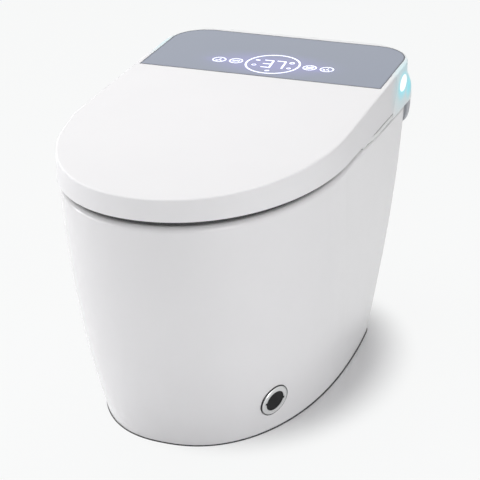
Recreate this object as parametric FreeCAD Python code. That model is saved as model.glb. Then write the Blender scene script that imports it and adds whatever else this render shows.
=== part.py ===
import FreeCAD, Part
import math
import os

# One-piece smart toilet, millimetres. Origin on the floor under the middle of the overall box,
# front towards -Y, up is +Z. The skirted ceramic carries a seat unit with lid, spray wands and glass panel.

V = FreeCAD.Vector
X_AXIS, Y_AXIS, Z_AXIS = V(1, 0, 0), V(0, 1, 0), V(0, 0, 1)
os.makedirs("parts", exist_ok=True)

# Overall sizes
LENGTH = 690.0
WIDTH = 405.4
RIM_H = 371.0
LID_GAP = 9.0
LID_FRONT_H = 31.0
TOP_SLOPE = 0.047
EGG_POWER = 2.11
EGG_LENGTH = 304.5
FIT = 0.05
GAP = 0.5

FRONT_Y = -LENGTH / 2
REAR_Y = LENGTH / 2
EGG_Y = FRONT_Y + EGG_LENGTH
LID_Z = RIM_H + LID_GAP
HALF_W = WIDTH / 2

# Ceramic body
CERAMIC_INSET = 4.2
CERAMIC_OVERHANG = 59.0
CERAMIC_WALL = 14.0
DECK_T = 22.0
RIM_FILLET = 8.0
FLOOR_FILLET = 2.0
FOOT_INSET = 28.5
FOOT_STRAIGHT = 156.6
FOOT_SETBACK = 95.4
FOOT_OVERHANG = 105.0
FOOT_REAR_INSET = 38.0
FOOT_POWER = 2.30
SIDE_BULGE = 0.71
REAR_BULGE = 0.65
REAR_CORNER = 10.0
FOOT_CORNER = 42.0
BOWL_SIDE_MARGIN = 84.7
BOWL_FRONT_MARGIN = 63.0
BOWL_REAR_MARGIN = 267.0
BOWL_WALL = 13.0
SUMP_HALF_W = 52.0
SUMP_SETBACK = 382.0
SUMP_DEPTH = 253.0
TRAP_R = 29.0
TRAP_WALL = 9.0
TRAP_BEND_R = 52.0
WEIR_DEPTH = 139.0
OUTLET_SETBACK = 185.0
OUTLET_Z = 12.0
SERVICE_HALF_W = 122.0
SERVICE_SETBACK = 177.0
SERVICE_LENGTH = 92.0
SERVICE_CORNER_R = 12.0
WAND_NOTCH_HALF_W = 50.0

CERAMIC_REAR_Y = REAR_Y - CERAMIC_OVERHANG
RIM_HALF_W = HALF_W - CERAMIC_INSET
FOOT_HALF_W = HALF_W - FOOT_INSET
FOOT_FRONT_Y = FRONT_Y + FOOT_SETBACK
FOOT_REAR_Y = REAR_Y - FOOT_OVERHANG
FOOT_REAR_HALF_W = HALF_W - FOOT_REAR_INSET
FOOT_EGG_Y = FOOT_REAR_Y - FOOT_STRAIGHT
BOWL_HALF_W = HALF_W - BOWL_SIDE_MARGIN
BOWL_FRONT_Y = FRONT_Y + BOWL_FRONT_MARGIN
BOWL_REAR_Y = REAR_Y - BOWL_REAR_MARGIN
SUMP_Y = REAR_Y - SUMP_SETBACK
SUMP_Z = RIM_H - SUMP_DEPTH
WEIR_Z = RIM_H - WEIR_DEPTH
OUTLET_Y = REAR_Y - OUTLET_SETBACK
SERVICE_Y0 = REAR_Y - SERVICE_SETBACK
SERVICE_Y1 = SERVICE_Y0 + SERVICE_LENGTH

# Lid, seat and their shared hinge axis
LID_WALL = 3.0
LID_TOP_T = 5.0
LID_EDGE_R = 2.5
HINGE_SETBACK = 161.0
HINGE_DROP = 17.863
CHEEK_R = 27.0
CHEEK_LEAN = 10.0
CHEEK_LIP = 6.7
SHAFT_R = 5.0
SEAT_T = 18.0
SEAT_LIFT = 1.5
SEAT_INSET = 6.9
SEAT_FRONT_GAP = 7.5
SEAT_HINGE_GAP = 54.0
SEAT_OVERLAP_SIDE = 12.0
SEAT_OVERLAP_FRONT = 20.0
SEAT_OVERLAP_REAR = 26.0
SEAT_EDGE_R = 6.0
ARM_T = 3.5
ARM_HUB_R = 11.5
ARM_GRIP = 60.0
ARM_TAPER = 10.0

HINGE_Y = REAR_Y - HINGE_SETBACK
HINGE_Z = LID_Z + LID_FRONT_H + TOP_SLOPE * (HINGE_Y - FRONT_Y) - HINGE_DROP
CHEEK_FOOT_Y = HINGE_Y + CHEEK_LEAN
SEAT_HALF_W = HALF_W - SEAT_INSET
SEAT_REAR_Y = HINGE_Y - SEAT_HINGE_GAP
SEAT_HOLE_HALF_W = BOWL_HALF_W - SEAT_OVERLAP_SIDE
SEAT_HOLE_FRONT_Y = BOWL_FRONT_Y + SEAT_OVERLAP_FRONT
SEAT_HOLE_REAR_Y = BOWL_REAR_Y - SEAT_OVERLAP_REAR
ARM_FRONT_Y = SEAT_REAR_Y - ARM_GRIP

# Seat unit
PANEL_LEAD = 42.4
PANEL_REAR_MARGIN = 12.0
PANEL_CORNER_R = 56.0
GLASS_T = 4.0
SHELL_T = 3.0
NARROW_INSET = 7.4
HOUSING_CORNER_R = 82.0
SWELL_CORNER_R = 47.0
SWELL_TOP = 42.0
SWELL_STRAIGHT = 6.0
HOUSING_EDGE_R = 2.5
APRON_INSET = 53.2
COVER_DROP = 36.0
COVER_TUCK = 9.0
LIGHT_SETBACK = 94.0
LIGHT_RISE = 32.0
LIGHT_LENGTH = 41.0
LIGHT_H = 26.0

PANEL_FRONT_Y = HINGE_Y - PANEL_LEAD
PANEL_REAR_Y = REAR_Y - PANEL_REAR_MARGIN
NARROW_HALF_W = HALF_W - NARROW_INSET
SWELL_TOP_Z = LID_Z + SWELL_TOP
SWELL_STRAIGHT_Z = LID_Z + SWELL_STRAIGHT
APRON_HALF_W = HALF_W - APRON_INSET
LIGHT_Y = REAR_Y - LIGHT_SETBACK
LIGHT_Z = LID_Z + LIGHT_RISE

# Spray wands
WAND_R = 6.5
WAND_LENGTH = 132.0
WAND_TIP = 18.0
WAND_TILT = 15.0
WAND_X = 13.0
WAND_LEAD = 34.0
WAND_DROP = 1.0
WAND_GAP = 0.3
GEAR_MODULE = 1.25
GEAR_TEETH = 12
GEAR_W = 5.0
PINION_BACK = 26.0
RACK_PITCH_H = 9.7
MOTOR_R = 14.0
MOTOR_L = 19.0

WAND_Y = HINGE_Y - WAND_LEAD
WAND_Z = RIM_H - WAND_DROP
PINION_Y = WAND_Y + PINION_BACK

# Foot sensor
SENSOR_Z = 57.0
SENSOR_ANGLE = 42.0
SENSOR_RING_R = 24.5
SENSOR_LENS_R = 16.5
SENSOR_BODY_R = 15.0
SENSOR_PROUD = 2.4

def save(name, shape):
    shape.exportStep("parts/%s.step" % name)

def box(x0, x1, y0, y1, z0, z1):
    return Part.makeBox(x1 - x0, y1 - y0, z1 - z0, V(x0, y0, z0))

def rod(radius, x, y, z, axis, length):
    return Part.makeCylinder(radius, length, V(x, y, z), axis)

def rod_x(radius, x0, x1, y, z):
    return rod(radius, x0, y, z, X_AXIS, x1 - x0)

def rod_z(radius, x, y, z0, z1):
    return rod(radius, x, y, z0, Z_AXIS, z1 - z0)

def mirrored(shape):
    return shape.mirror(V(0, 0, 0), X_AXIS)

def pair(shape):
    return Part.makeCompound([shape, mirrored(shape)])

def top_z(y):
    # Height of the sloping top plane shared by the lid and the glass panel
    return LID_Z + LID_FRONT_H + TOP_SLOPE * (y - FRONT_Y)

def slab(drop_high, drop_low):
    # Layer between two planes that lie the given depths below the sloping top plane
    y0, y1 = FRONT_Y - LENGTH, REAR_Y + LENGTH
    corners = [V(-WIDTH, y0, top_z(y0) - drop_low), V(-WIDTH, y1, top_z(y1) - drop_low),
               V(-WIDTH, y1, top_z(y1) - drop_high), V(-WIDTH, y0, top_z(y0) - drop_high)]
    return Part.Face(Part.makePolygon(corners + corners[:1])).extrude(V(2 * WIDTH, 0, 0))

def spline(points, start, end):
    curve = Part.BSplineCurve()
    curve.interpolate(Points=points, InitialTangent=start, FinalTangent=end)
    return curve.toShape()

def bezier(points):
    curve = Part.BezierCurve()
    curve.setPoles(points)
    return curve.toShape()

def egg_front(a, b, yc, power, z, count=17):
    # Superellipse from (+a, yc) round the front to (-a, yc)
    points = []
    for i in range(count):
        angle = math.pi * i / (count - 1)
        c, s = math.cos(angle), math.sin(angle)
        x = math.copysign(abs(c) ** (2 / power), c) * a
        points.append(V(x, yc - b * abs(s) ** (2 / power), z))
    return spline(points, V(0, -b, 0), V(0, b, 0))

def egg_wire(a, b, yc, power, rear_half, rear_y, corner, z):
    # Egg front, sides that draw in along a parabola, and a straight rear with rounded corners
    side_end = rear_y - corner
    share = (side_end - yc) / (rear_y - yc)
    side_x = a - (a - rear_half) * share ** 2
    lean = 2 * (a - rear_half) * share / (rear_y - yc)
    half = (yc + side_end) / 2
    left = bezier([V(-a, yc, z), V(-a, half, z), V(-side_x, side_end, z)])
    right = bezier([V(side_x, side_end, z), V(a, half, z), V(a, yc, z)])
    tip_x = side_x - lean * corner
    flat_x = tip_x - corner
    corner_l = bezier([V(-side_x, side_end, z), V(-tip_x, rear_y, z), V(-flat_x, rear_y, z)])
    corner_r = bezier([V(flat_x, rear_y, z), V(tip_x, rear_y, z), V(side_x, side_end, z)])
    rear = Part.makeLine(V(-flat_x, rear_y, z), V(flat_x, rear_y, z))
    return Part.Wire([egg_front(a, b, yc, power, z), left, corner_l, rear, corner_r, right])

def d_plan(half_w, front_y, rear_y, z0, z1):
    # The lid's D outline: egg front and parallel sides, as a prism
    b = EGG_Y - front_y
    side_l = Part.makeLine(V(-half_w, EGG_Y, z0), V(-half_w, rear_y, z0))
    side_r = Part.makeLine(V(half_w, rear_y, z0), V(half_w, EGG_Y, z0))
    rear = Part.makeLine(V(-half_w, rear_y, z0), V(half_w, rear_y, z0))
    wire = Part.Wire([egg_front(half_w, b, EGG_Y, EGG_POWER, z0), side_l, rear, side_r])
    return Part.Face(wire).extrude(V(0, 0, z1 - z0))

def round_plan(half_w, y0, y1, radius, z0, z1):
    # Rectangle with both rear corners rounded, as a prism
    k = radius * (1 - math.sqrt(0.5))
    left = Part.makeLine(V(-half_w, y0, z0), V(-half_w, y1 - radius, z0))
    arc_l = Part.Arc(V(-half_w, y1 - radius, z0), V(-half_w + k, y1 - k, z0),
                     V(-half_w + radius, y1, z0)).toShape()
    rear = Part.makeLine(V(-half_w + radius, y1, z0), V(half_w - radius, y1, z0))
    arc_r = Part.Arc(V(half_w - radius, y1, z0), V(half_w - k, y1 - k, z0),
                     V(half_w, y1 - radius, z0)).toShape()
    right = Part.makeLine(V(half_w, y1 - radius, z0), V(half_w, y0, z0))
    front = Part.makeLine(V(half_w, y0, z0), V(-half_w, y0, z0))
    return Part.Face(Part.Wire([left, arc_l, rear, arc_r, right, front])).extrude(V(0, 0, z1 - z0))

def edges_at(shape, test):
    # Edges whose both ends and middle pass the test
    found = []
    for edge in shape.Edges:
        points = [edge.valueAt(edge.FirstParameter), edge.valueAt(edge.LastParameter),
                  edge.valueAt((edge.FirstParameter + edge.LastParameter) / 2)]
        if all(test(p) for p in points):
            found.append(edge)
    return found

def upright_edges(shape):
    return [edge for edge in shape.Edges if edge.BoundBox.ZLength > 0.99 * edge.Length]

# Ceramic body: skirt, deck, bowl and trapway in one casting
def blend(foot, rim, share, bulge):
    return foot + (rim - foot) * (share + bulge * share * (1 - share))

def skirt_sizes(z, inset):
    share = z / RIM_H
    a = blend(FOOT_HALF_W, RIM_HALF_W, share, SIDE_BULGE) - inset
    b = blend(FOOT_EGG_Y - FOOT_FRONT_Y, EGG_LENGTH - CERAMIC_INSET, share, SIDE_BULGE) - inset
    yc = blend(FOOT_EGG_Y, EGG_Y, share, SIDE_BULGE)
    power = blend(FOOT_POWER, EGG_POWER, share, SIDE_BULGE)
    rear_half = blend(FOOT_REAR_HALF_W, RIM_HALF_W, share, REAR_BULGE) - inset
    rear_y = blend(FOOT_REAR_Y, CERAMIC_REAR_Y, share, REAR_BULGE) - inset
    corner = blend(FOOT_CORNER, REAR_CORNER, share, REAR_BULGE)
    return a, b, yc, power, rear_half, rear_y, corner

def skirt_loft(heights, inset):
    wires = [egg_wire(*skirt_sizes(z, inset), z) for z in heights]
    return Part.makeLoft(wires, True, False)

def bowl_wire(a, y0, y1, z):
    # Ellipse of half-width a between two Y values
    long_r = (y1 - y0) / 2
    middle = V(0, (y0 + y1) / 2, z)
    if long_r >= a:
        ellipse = Part.Ellipse(middle + V(0, long_r, 0), middle + V(a, 0, 0), middle)
    else:
        ellipse = Part.Ellipse(middle + V(a, 0, 0), middle + V(0, long_r, 0), middle)
    return Part.Wire([ellipse.toShape()])

def bowl_solid(wall, top):
    # The bowl's form, from its sump up to the rim, grown by the wall
    sump_front = SUMP_Y - SUMP_HALF_W * 1.1
    sump_rear = SUMP_Y + SUMP_HALF_W * 1.1
    wires = []
    for share, swell in ((0.0, 0.0), (0.45, 0.58), (0.75, 0.86), (1.0, 1.0)):
        z = SUMP_Z - wall + (top - SUMP_Z + wall) * share
        half = SUMP_HALF_W + (BOWL_HALF_W - SUMP_HALF_W) * swell
        y0 = sump_front + (BOWL_FRONT_Y - sump_front) * swell
        y1 = sump_rear + (BOWL_REAR_Y - sump_rear) * swell
        wires.append(bowl_wire(half + wall, y0 - wall, y1 + wall, z))
    return Part.makeLoft(wires, True, False)

def trap_solid(radius, start_y, end_z):
    # Up from the sump over the weir and down to the floor outlet, as one swept tube
    low_z = SUMP_Z + TRAP_R
    rise_y = OUTLET_Y - 2 * TRAP_BEND_R
    quarter = TRAP_BEND_R * math.sqrt(0.5)
    a = V(0, start_y, low_z)
    b = V(0, rise_y - TRAP_BEND_R, low_z)
    c = V(0, rise_y, low_z + TRAP_BEND_R)
    d = V(0, rise_y, WEIR_Z)
    e = V(0, OUTLET_Y, WEIR_Z)
    f = V(0, OUTLET_Y, end_z)
    bend = V(0, rise_y - TRAP_BEND_R + quarter, low_z + TRAP_BEND_R - quarter)
    crown = V(0, rise_y + TRAP_BEND_R, WEIR_Z + TRAP_BEND_R)
    path = Part.Wire([Part.makeLine(a, b), Part.Arc(b, bend, c).toShape(), Part.makeLine(c, d),
                      Part.Arc(d, crown, e).toShape(), Part.makeLine(e, f)])
    ring = Part.Wire([Part.Circle(a, Y_AXIS, radius).toShape()])
    return path.makePipeShell([ring], True, False)

def sensor_place():
    # Point on the skirt and the outward normal there
    def at(angle, z):
        a, b, yc, power = skirt_sizes(z, 0)[:4]
        c, s = math.cos(angle), math.sin(angle)
        return V(a * c ** (2 / power), yc - b * s ** (2 / power), z)
    angle = math.radians(SENSOR_ANGLE)
    here = at(angle, SENSOR_Z)
    around = at(angle + 0.01, SENSOR_Z) - here
    up = at(angle, SENSOR_Z + 1) - here
    normal = up.cross(around)
    if normal.x < 0:
        normal = normal * -1
    return here, normal.normalize()

SENSOR_AT, SENSOR_OUT = sensor_place()

def sensor_rod(radius, start, end):
    # Rod on the sensor's axis between two depths, outwards positive
    return Part.makeCylinder(radius, end - start, SENSOR_AT + SENSOR_OUT * start, SENSOR_OUT)

def sensor_box(half_across, half_up, start, end):
    # Block on the sensor's axis, level across the skirt
    across = Z_AXIS.cross(SENSOR_OUT).normalize()
    block = box(-half_across, half_across, -half_up, half_up, start, end)
    turn = FreeCAD.Rotation(across, SENSOR_OUT.cross(across), SENSOR_OUT)
    block.Placement = FreeCAD.Placement(SENSOR_AT, turn)
    return block

BOLT_INSET = 32.7
BOLT_BACK = 30.0
BOLT_R = 4.0
BOLT_HEAD_R = 8.0
SEAT_DEPTH = 3.0
BOLT_X = HALF_W - BOLT_INSET
BOLT_Y = HINGE_Y + BOLT_BACK

def ceramic_body():
    levels = [RIM_H * i / 5 for i in range(6)]
    outer = skirt_loft(levels, 0)
    rim_edges = edges_at(outer, lambda p: abs(p.z - RIM_H) < 0.01)
    outer = outer.makeFillet(RIM_FILLET, rim_edges)
    foot_edges = edges_at(outer, lambda p: abs(p.z) < 0.01)
    outer = outer.makeFillet(FLOOR_FILLET, foot_edges)
    deck_z = RIM_H - DECK_T
    hollow = skirt_loft([deck_z * i / 4 for i in range(5)], CERAMIC_WALL)
    body = outer.cut(hollow)
    body = body.fuse(bowl_solid(BOWL_WALL, RIM_H - DECK_T / 2))
    body = body.fuse(trap_solid(TRAP_R + TRAP_WALL, SUMP_Y, OUTLET_Z))
    body = body.cut(bowl_solid(0, RIM_H + 0.001))
    body = body.cut(trap_solid(TRAP_R, SUMP_Y, OUTLET_Z - 1))
    notch = box(-WAND_NOTCH_HALF_W, WAND_NOTCH_HALF_W, SUMP_Y, SERVICE_Y0 + 1,
                deck_z - BOWL_WALL - 1, RIM_H + 1)
    service = box(-SERVICE_HALF_W, SERVICE_HALF_W, SERVICE_Y0, SERVICE_Y1, deck_z - 1, RIM_H + 1)
    service = service.makeFillet(SERVICE_CORNER_R, upright_edges(service))
    body = body.cut(notch).cut(service)
    for side in (-1, 1):
        body = body.cut(rod_z(BOLT_R + GAP, side * BOLT_X, BOLT_Y, deck_z - 1, RIM_H + 1))
    body = body.cut(sensor_rod(SENSOR_RING_R + GAP, -SEAT_DEPTH, SENSOR_RING_R))
    body = body.cut(sensor_rod(SENSOR_BODY_R + GAP, -3 * CERAMIC_WALL, 0))
    return body

save("ceramic_body", ceramic_body())

# Hinged seat group: lid, seat ring, hinge arms and rubber bumpers
SEAT_Z = LID_Z + SEAT_LIFT
SEAT_TOP_Z = SEAT_Z + SEAT_T
CHEEK_REAR_Y = HINGE_Y + CHEEK_R
TOP_CLEAR = 20.0
ABOVE_Z = top_z(REAR_Y) + TOP_CLEAR
LID_REAR_GAP = 0.8
BUMPER_R = 9.0
BUMPER_GAP = 0.2
BUMPER_INSET = 52.7
BUMPER_FRONT = 205.0
BUMPER_SPAN = 170.0
LID_BUMPER_R = 7.0
LID_BUMPER_LEAD = 10.0
BORE_SKIN = 1.2

def hinge_rod(radius, x0, x1):
    return rod_x(radius, x0, x1, HINGE_Y, HINGE_Z)

def cheek_end(grow):
    # Round upper end about the hinge axis, with a straight edge that leans forward to its foot
    corners = [V(-WIDTH, HINGE_Y, HINGE_Z), V(-WIDTH, HINGE_Y + CHEEK_R + grow, HINGE_Z),
               V(-WIDTH, CHEEK_FOOT_Y + grow, LID_Z), V(-WIDTH, CHEEK_FOOT_Y + grow, RIM_H),
               V(-WIDTH, HINGE_Y, RIM_H)]
    lower = Part.Face(Part.makePolygon(corners + corners[:1])).extrude(V(2 * WIDTH, 0, 0))
    return hinge_rod(CHEEK_R + grow, -WIDTH, WIDTH).fuse(lower)

def under_top(shape, drop):
    # What lies more than the given depth below the sloping top plane
    return shape.common(slab(drop, ABOVE_Z))

def on_top_plane(p):
    return abs(p.z - top_z(p.y)) < 0.01

def long_edges(edges, least):
    return [edge for edge in edges if edge.BoundBox.YLength > least]

def lid():
    body = under_top(d_plan(HALF_W, FRONT_Y, CHEEK_REAR_Y, LID_Z, ABOVE_Z), 0)
    body = body.makeFillet(LID_EDGE_R, long_edges(edges_at(body, on_top_plane), LID_EDGE_R))
    behind = box(-WIDTH, WIDTH, HINGE_Y, CHEEK_REAR_Y + 1, LID_Z - 1, ABOVE_Z)
    body = body.cut(behind.cut(cheek_end(0)))
    inside = d_plan(HALF_W - LID_WALL, FRONT_Y + LID_WALL, CHEEK_REAR_Y + 1, LID_Z - 1, ABOVE_Z)
    body = body.cut(under_top(inside, LID_TOP_T))
    rear_y = PANEL_FRONT_Y - LID_REAR_GAP
    roll_r = math.hypot(HINGE_Y - rear_y, top_z(rear_y) - HINGE_Z)
    between = HALF_W - CHEEK_LIP
    body = body.cut(hinge_rod(roll_r, -between, between))
    body = body.cut(box(-between, between, rear_y, CHEEK_REAR_Y + 1, LID_Z - 1, ABOVE_Z))
    bore = hinge_rod(SHAFT_R + FIT, HALF_W - LID_WALL - 1, HALF_W - BORE_SKIN)
    return body.cut(bore).cut(mirrored(bore))

def seat_ring():
    ring = d_plan(SEAT_HALF_W, FRONT_Y + SEAT_FRONT_GAP, SEAT_REAR_Y, SEAT_Z, SEAT_TOP_Z)
    hole = Part.Face(bowl_wire(SEAT_HOLE_HALF_W, SEAT_HOLE_FRONT_Y, SEAT_HOLE_REAR_Y, SEAT_Z - 1))
    ring = ring.cut(hole.extrude(V(0, 0, SEAT_T + 2)))
    return ring.makeFillet(SEAT_EDGE_R, edges_at(ring, lambda p: abs(p.z - SEAT_TOP_Z) < 0.01))

def seat_hinge_arms():
    x0 = SEAT_HALF_W
    low, high = SEAT_Z + 1, SEAT_TOP_Z - SEAT_EDGE_R
    profile = [V(x0, ARM_FRONT_Y, low), V(x0, SEAT_REAR_Y, low), V(x0, HINGE_Y, HINGE_Z - ARM_HUB_R),
               V(x0, HINGE_Y, HINGE_Z + ARM_HUB_R), V(x0, SEAT_REAR_Y - ARM_TAPER, high),
               V(x0, ARM_FRONT_Y, high)]
    arm = Part.Face(Part.makePolygon(profile + profile[:1])).extrude(V(ARM_T, 0, 0))
    arm = arm.fuse(hinge_rod(ARM_HUB_R, x0, x0 + ARM_T)).removeSplitter()
    return pair(arm.cut(hinge_rod(SHAFT_R + FIT, x0 - 1, x0 + ARM_T + 1)))

def seat_bumpers():
    x, y0 = HALF_W - BUMPER_INSET, FRONT_Y + BUMPER_FRONT
    pads = [rod_z(BUMPER_R, x, y, RIM_H + BUMPER_GAP, SEAT_Z) for y in (y0, y0 + BUMPER_SPAN)]
    return Part.makeCompound(pads + [mirrored(pad) for pad in pads])

def lid_bumpers():
    x, y = HALF_W - BUMPER_INSET, FRONT_Y + BUMPER_FRONT - LID_BUMPER_LEAD
    return pair(under_top(rod_z(LID_BUMPER_R, x, y, SEAT_TOP_Z + BUMPER_GAP, ABOVE_Z), LID_TOP_T))

save("lid", lid())
save("seat_ring", seat_ring())
save("seat_hinge_arms", seat_hinge_arms())
save("seat_bumpers", seat_bumpers())
save("lid_bumpers", lid_bumpers())

# Hinge shafts, soft-close units and their saddles
DAMPER_R = 10.0
DAMPER_INSET = 15.3
DAMPER_LENGTH = 30.0
SHAFT_GRIP = 16.0
SADDLE_MARGIN = 3.0
SADDLE_HALF_Y = 13.0
DAMPER_X1 = NARROW_HALF_W - DAMPER_INSET
DAMPER_X0 = DAMPER_X1 - DAMPER_LENGTH

def hinge_shafts():
    return pair(hinge_rod(SHAFT_R, DAMPER_X1 - SHAFT_GRIP, HALF_W - BORE_SKIN - FIT))

def soft_close_unit():
    unit = hinge_rod(DAMPER_R, DAMPER_X0, DAMPER_X1)
    return unit.cut(hinge_rod(SHAFT_R, DAMPER_X1 - SHAFT_GRIP, DAMPER_X1 + 1))

def hinge_saddles():
    saddle = box(DAMPER_X0 + SADDLE_MARGIN, DAMPER_X1 - SADDLE_MARGIN,
                 HINGE_Y - SADDLE_HALF_Y, HINGE_Y + SADDLE_HALF_Y, LID_Z, HINGE_Z)
    return pair(saddle.cut(hinge_rod(DAMPER_R, DAMPER_X0, DAMPER_X1)))

save("hinge_shafts", hinge_shafts())
save("seat_soft_close", soft_close_unit())
save("lid_soft_close", mirrored(soft_close_unit()))
save("hinge_saddles", hinge_saddles())

# Base plate of the seat unit, bolted through the ceramic deck
WAND_SLOT_HALF_W = 45.0
WAND_SLOT_LENGTH = 78.0
DUCT_W = 40.0
DUCT_SETBACK = 32.0
DUCT_DROP = 24.0
FAN_INSET = 8.7
FAN_DEPTH = 34.0
FAN_BLOWER_GAP = 6.0
BLOWER_R = 42.0
NUT_T = 7.0
HEAD_T = 5.0
WING_LENGTH = 97.6
WING_TAPER = 60.0
WING_INSET = 0.4
WING_T = 6.0
WING_DROP = 2.0
FAN_X0 = FAN_INSET - HALF_W
FAN_X1 = FAN_X0 + FAN_DEPTH
BLOWER_X = FAN_X1 + FAN_BLOWER_GAP + BLOWER_R
DUCT_X0 = BLOWER_X - DUCT_SETBACK
DUCT_X1 = DUCT_X0 + DUCT_W
DUCT_FRONT_Y = PANEL_FRONT_Y + SHELL_T + GAP
WING_Y = PANEL_FRONT_Y - WING_LENGTH

def base_wing():
    # Side rail under the lid's edge: it swings out from the rim's line until it is flush with the housing
    z = RIM_H + GAP
    x0, x1, x2 = RIM_HALF_W - WING_T, RIM_HALF_W - GAP, HALF_W - WING_INSET
    half_y, taper_y, rear_y = WING_Y + WING_TAPER / 2, WING_Y + WING_TAPER, CHEEK_FOOT_Y
    edge = bezier([V(x1, WING_Y, z), V(x1, half_y, z), V(x2, half_y, z), V(x2, taper_y, z)])
    rest = Part.makePolygon([V(x2, taper_y, z), V(x2, rear_y, z), V(x0, rear_y, z), V(x0, WING_Y, z),
                             V(x1, WING_Y, z)])
    return Part.Face(Part.Wire([edge] + rest.Edges)).extrude(V(0, 0, LID_GAP - WING_DROP - GAP))

def seat_unit_base():
    inside = SHELL_T + GAP
    plate = round_plan(RIM_HALF_W, WING_Y, REAR_Y - inside, SWELL_CORNER_R - inside, RIM_H, LID_Z)
    plate = plate.cut(box(-APRON_HALF_W - GAP, APRON_HALF_W + GAP, FRONT_Y,
                          PANEL_FRONT_Y + SHELL_T + GAP, RIM_H - 1, LID_Z + 1))
    plate = plate.fuse(base_wing()).fuse(mirrored(base_wing()))
    plate = plate.cut(box(-WAND_SLOT_HALF_W, WAND_SLOT_HALF_W, FRONT_Y, WAND_Y + WAND_SLOT_LENGTH,
                          RIM_H - 1, LID_Z + 1))
    plate = plate.cut(box(DUCT_X0 - GAP, DUCT_X1 + GAP, FRONT_Y, DUCT_FRONT_Y + DUCT_DROP + GAP,
                          RIM_H - 1, LID_Z + 1))
    for side in (-1, 1):
        plate = plate.cut(rod_z(BOLT_R + GAP, side * BOLT_X, BOLT_Y, RIM_H - 1, LID_Z + 1))
    return plate.removeSplitter()

def mounting_bolts():
    under = RIM_H - DECK_T
    bolt = rod_z(BOLT_R, BOLT_X, BOLT_Y, under - NUT_T - 3, LID_Z)
    bolt = bolt.fuse(rod_z(BOLT_HEAD_R, BOLT_X, BOLT_Y, LID_Z, LID_Z + HEAD_T))
    hexagon = Part.makePolygon([V(BOLT_X + BOLT_HEAD_R * math.cos(math.radians(60 * i)),
                                  BOLT_Y + BOLT_HEAD_R * math.sin(math.radians(60 * i)),
                                  under - NUT_T) for i in range(7)])
    nut = Part.Face(hexagon).extrude(V(0, 0, NUT_T))
    return pair(bolt.fuse(nut).removeSplitter())

save("seat_unit_base", seat_unit_base())
save("mounting_bolts", mounting_bolts())

# Rear housing shell, glass panel, display board and side lights
DISPLAY_HALF_W = 108.0
DISPLAY_LEAD = 8.4
DISPLAY_LENGTH = 98.0
BOARD_T = 1.6
BOARD_GAP = 0.3
GLASS_SEAT = 0.3
PORT_HALF_W = 30.0
FLAP_H = 8.0
FLAP_T = 2.0
FLAP_KNUCKLE_R = 1.2
FLAP_PIN_R = 0.8
FLAP_PIN_REACH = 2.5
FLAP_GAP = 0.4
FLAP_Y = PANEL_FRONT_Y + SHELL_T / 2
FLAP_LOW_Z = RIM_H + GAP + 1
FLAP_Z = FLAP_LOW_Z + FLAP_H - FLAP_KNUCKLE_R - FLAP_GAP
VENT_COUNT = 9
VENT_PITCH = 9.0
VENT_W = 3.5
VENT_RISE = 10.0
VENT_H = 26.0
DISPLAY_Y0 = PANEL_FRONT_Y + DISPLAY_LEAD
DISPLAY_Y1 = DISPLAY_Y0 + DISPLAY_LENGTH
VENT_Z0 = LID_Z + VENT_RISE
VENT_Z1 = VENT_Z0 + VENT_H

def light_oval(shrink, x0, x1):
    # Oval window on the housing's side
    middle = V(x0, LIGHT_Y, LIGHT_Z)
    long_end = middle + V(0, LIGHT_LENGTH / 2 - shrink, 0)
    short_end = middle + V(0, 0, LIGHT_H / 2 - shrink)
    oval = Part.Ellipse(long_end, short_end, middle)
    return Part.Face(Part.Wire([oval.toShape()])).extrude(V(x1 - x0, 0, 0))

def housing_plan(corner, z0, z1):
    return round_plan(HALF_W, HINGE_Y, REAR_Y, corner, z0, z1)

def housing_swell(low_z):
    # Lower part whose rear corners swell out from the rim's radius to a tighter one
    wires = []
    rise = SWELL_TOP_Z - SWELL_STRAIGHT_Z
    for z, swell in ((low_z, 1.0), (SWELL_STRAIGHT_Z, 1.0), (SWELL_STRAIGHT_Z + rise / 3, 0.82),
                     (SWELL_STRAIGHT_Z + rise * 0.7, 0.35), (SWELL_TOP_Z, 0.0)):
        corner = HOUSING_CORNER_R + (SWELL_CORNER_R - HOUSING_CORNER_R) * swell
        plan = housing_plan(corner, z, z + 1)
        wires.append(min(plan.Faces, key=lambda face: face.CenterOfMass.z).OuterWire)
    return Part.makeLoft(wires, True, False)

def glass_panel():
    plan = round_plan(NARROW_HALF_W, PANEL_FRONT_Y, PANEL_REAR_Y, PANEL_CORNER_R, RIM_H, ABOVE_Z)
    return plan.common(slab(0, GLASS_T))

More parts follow.
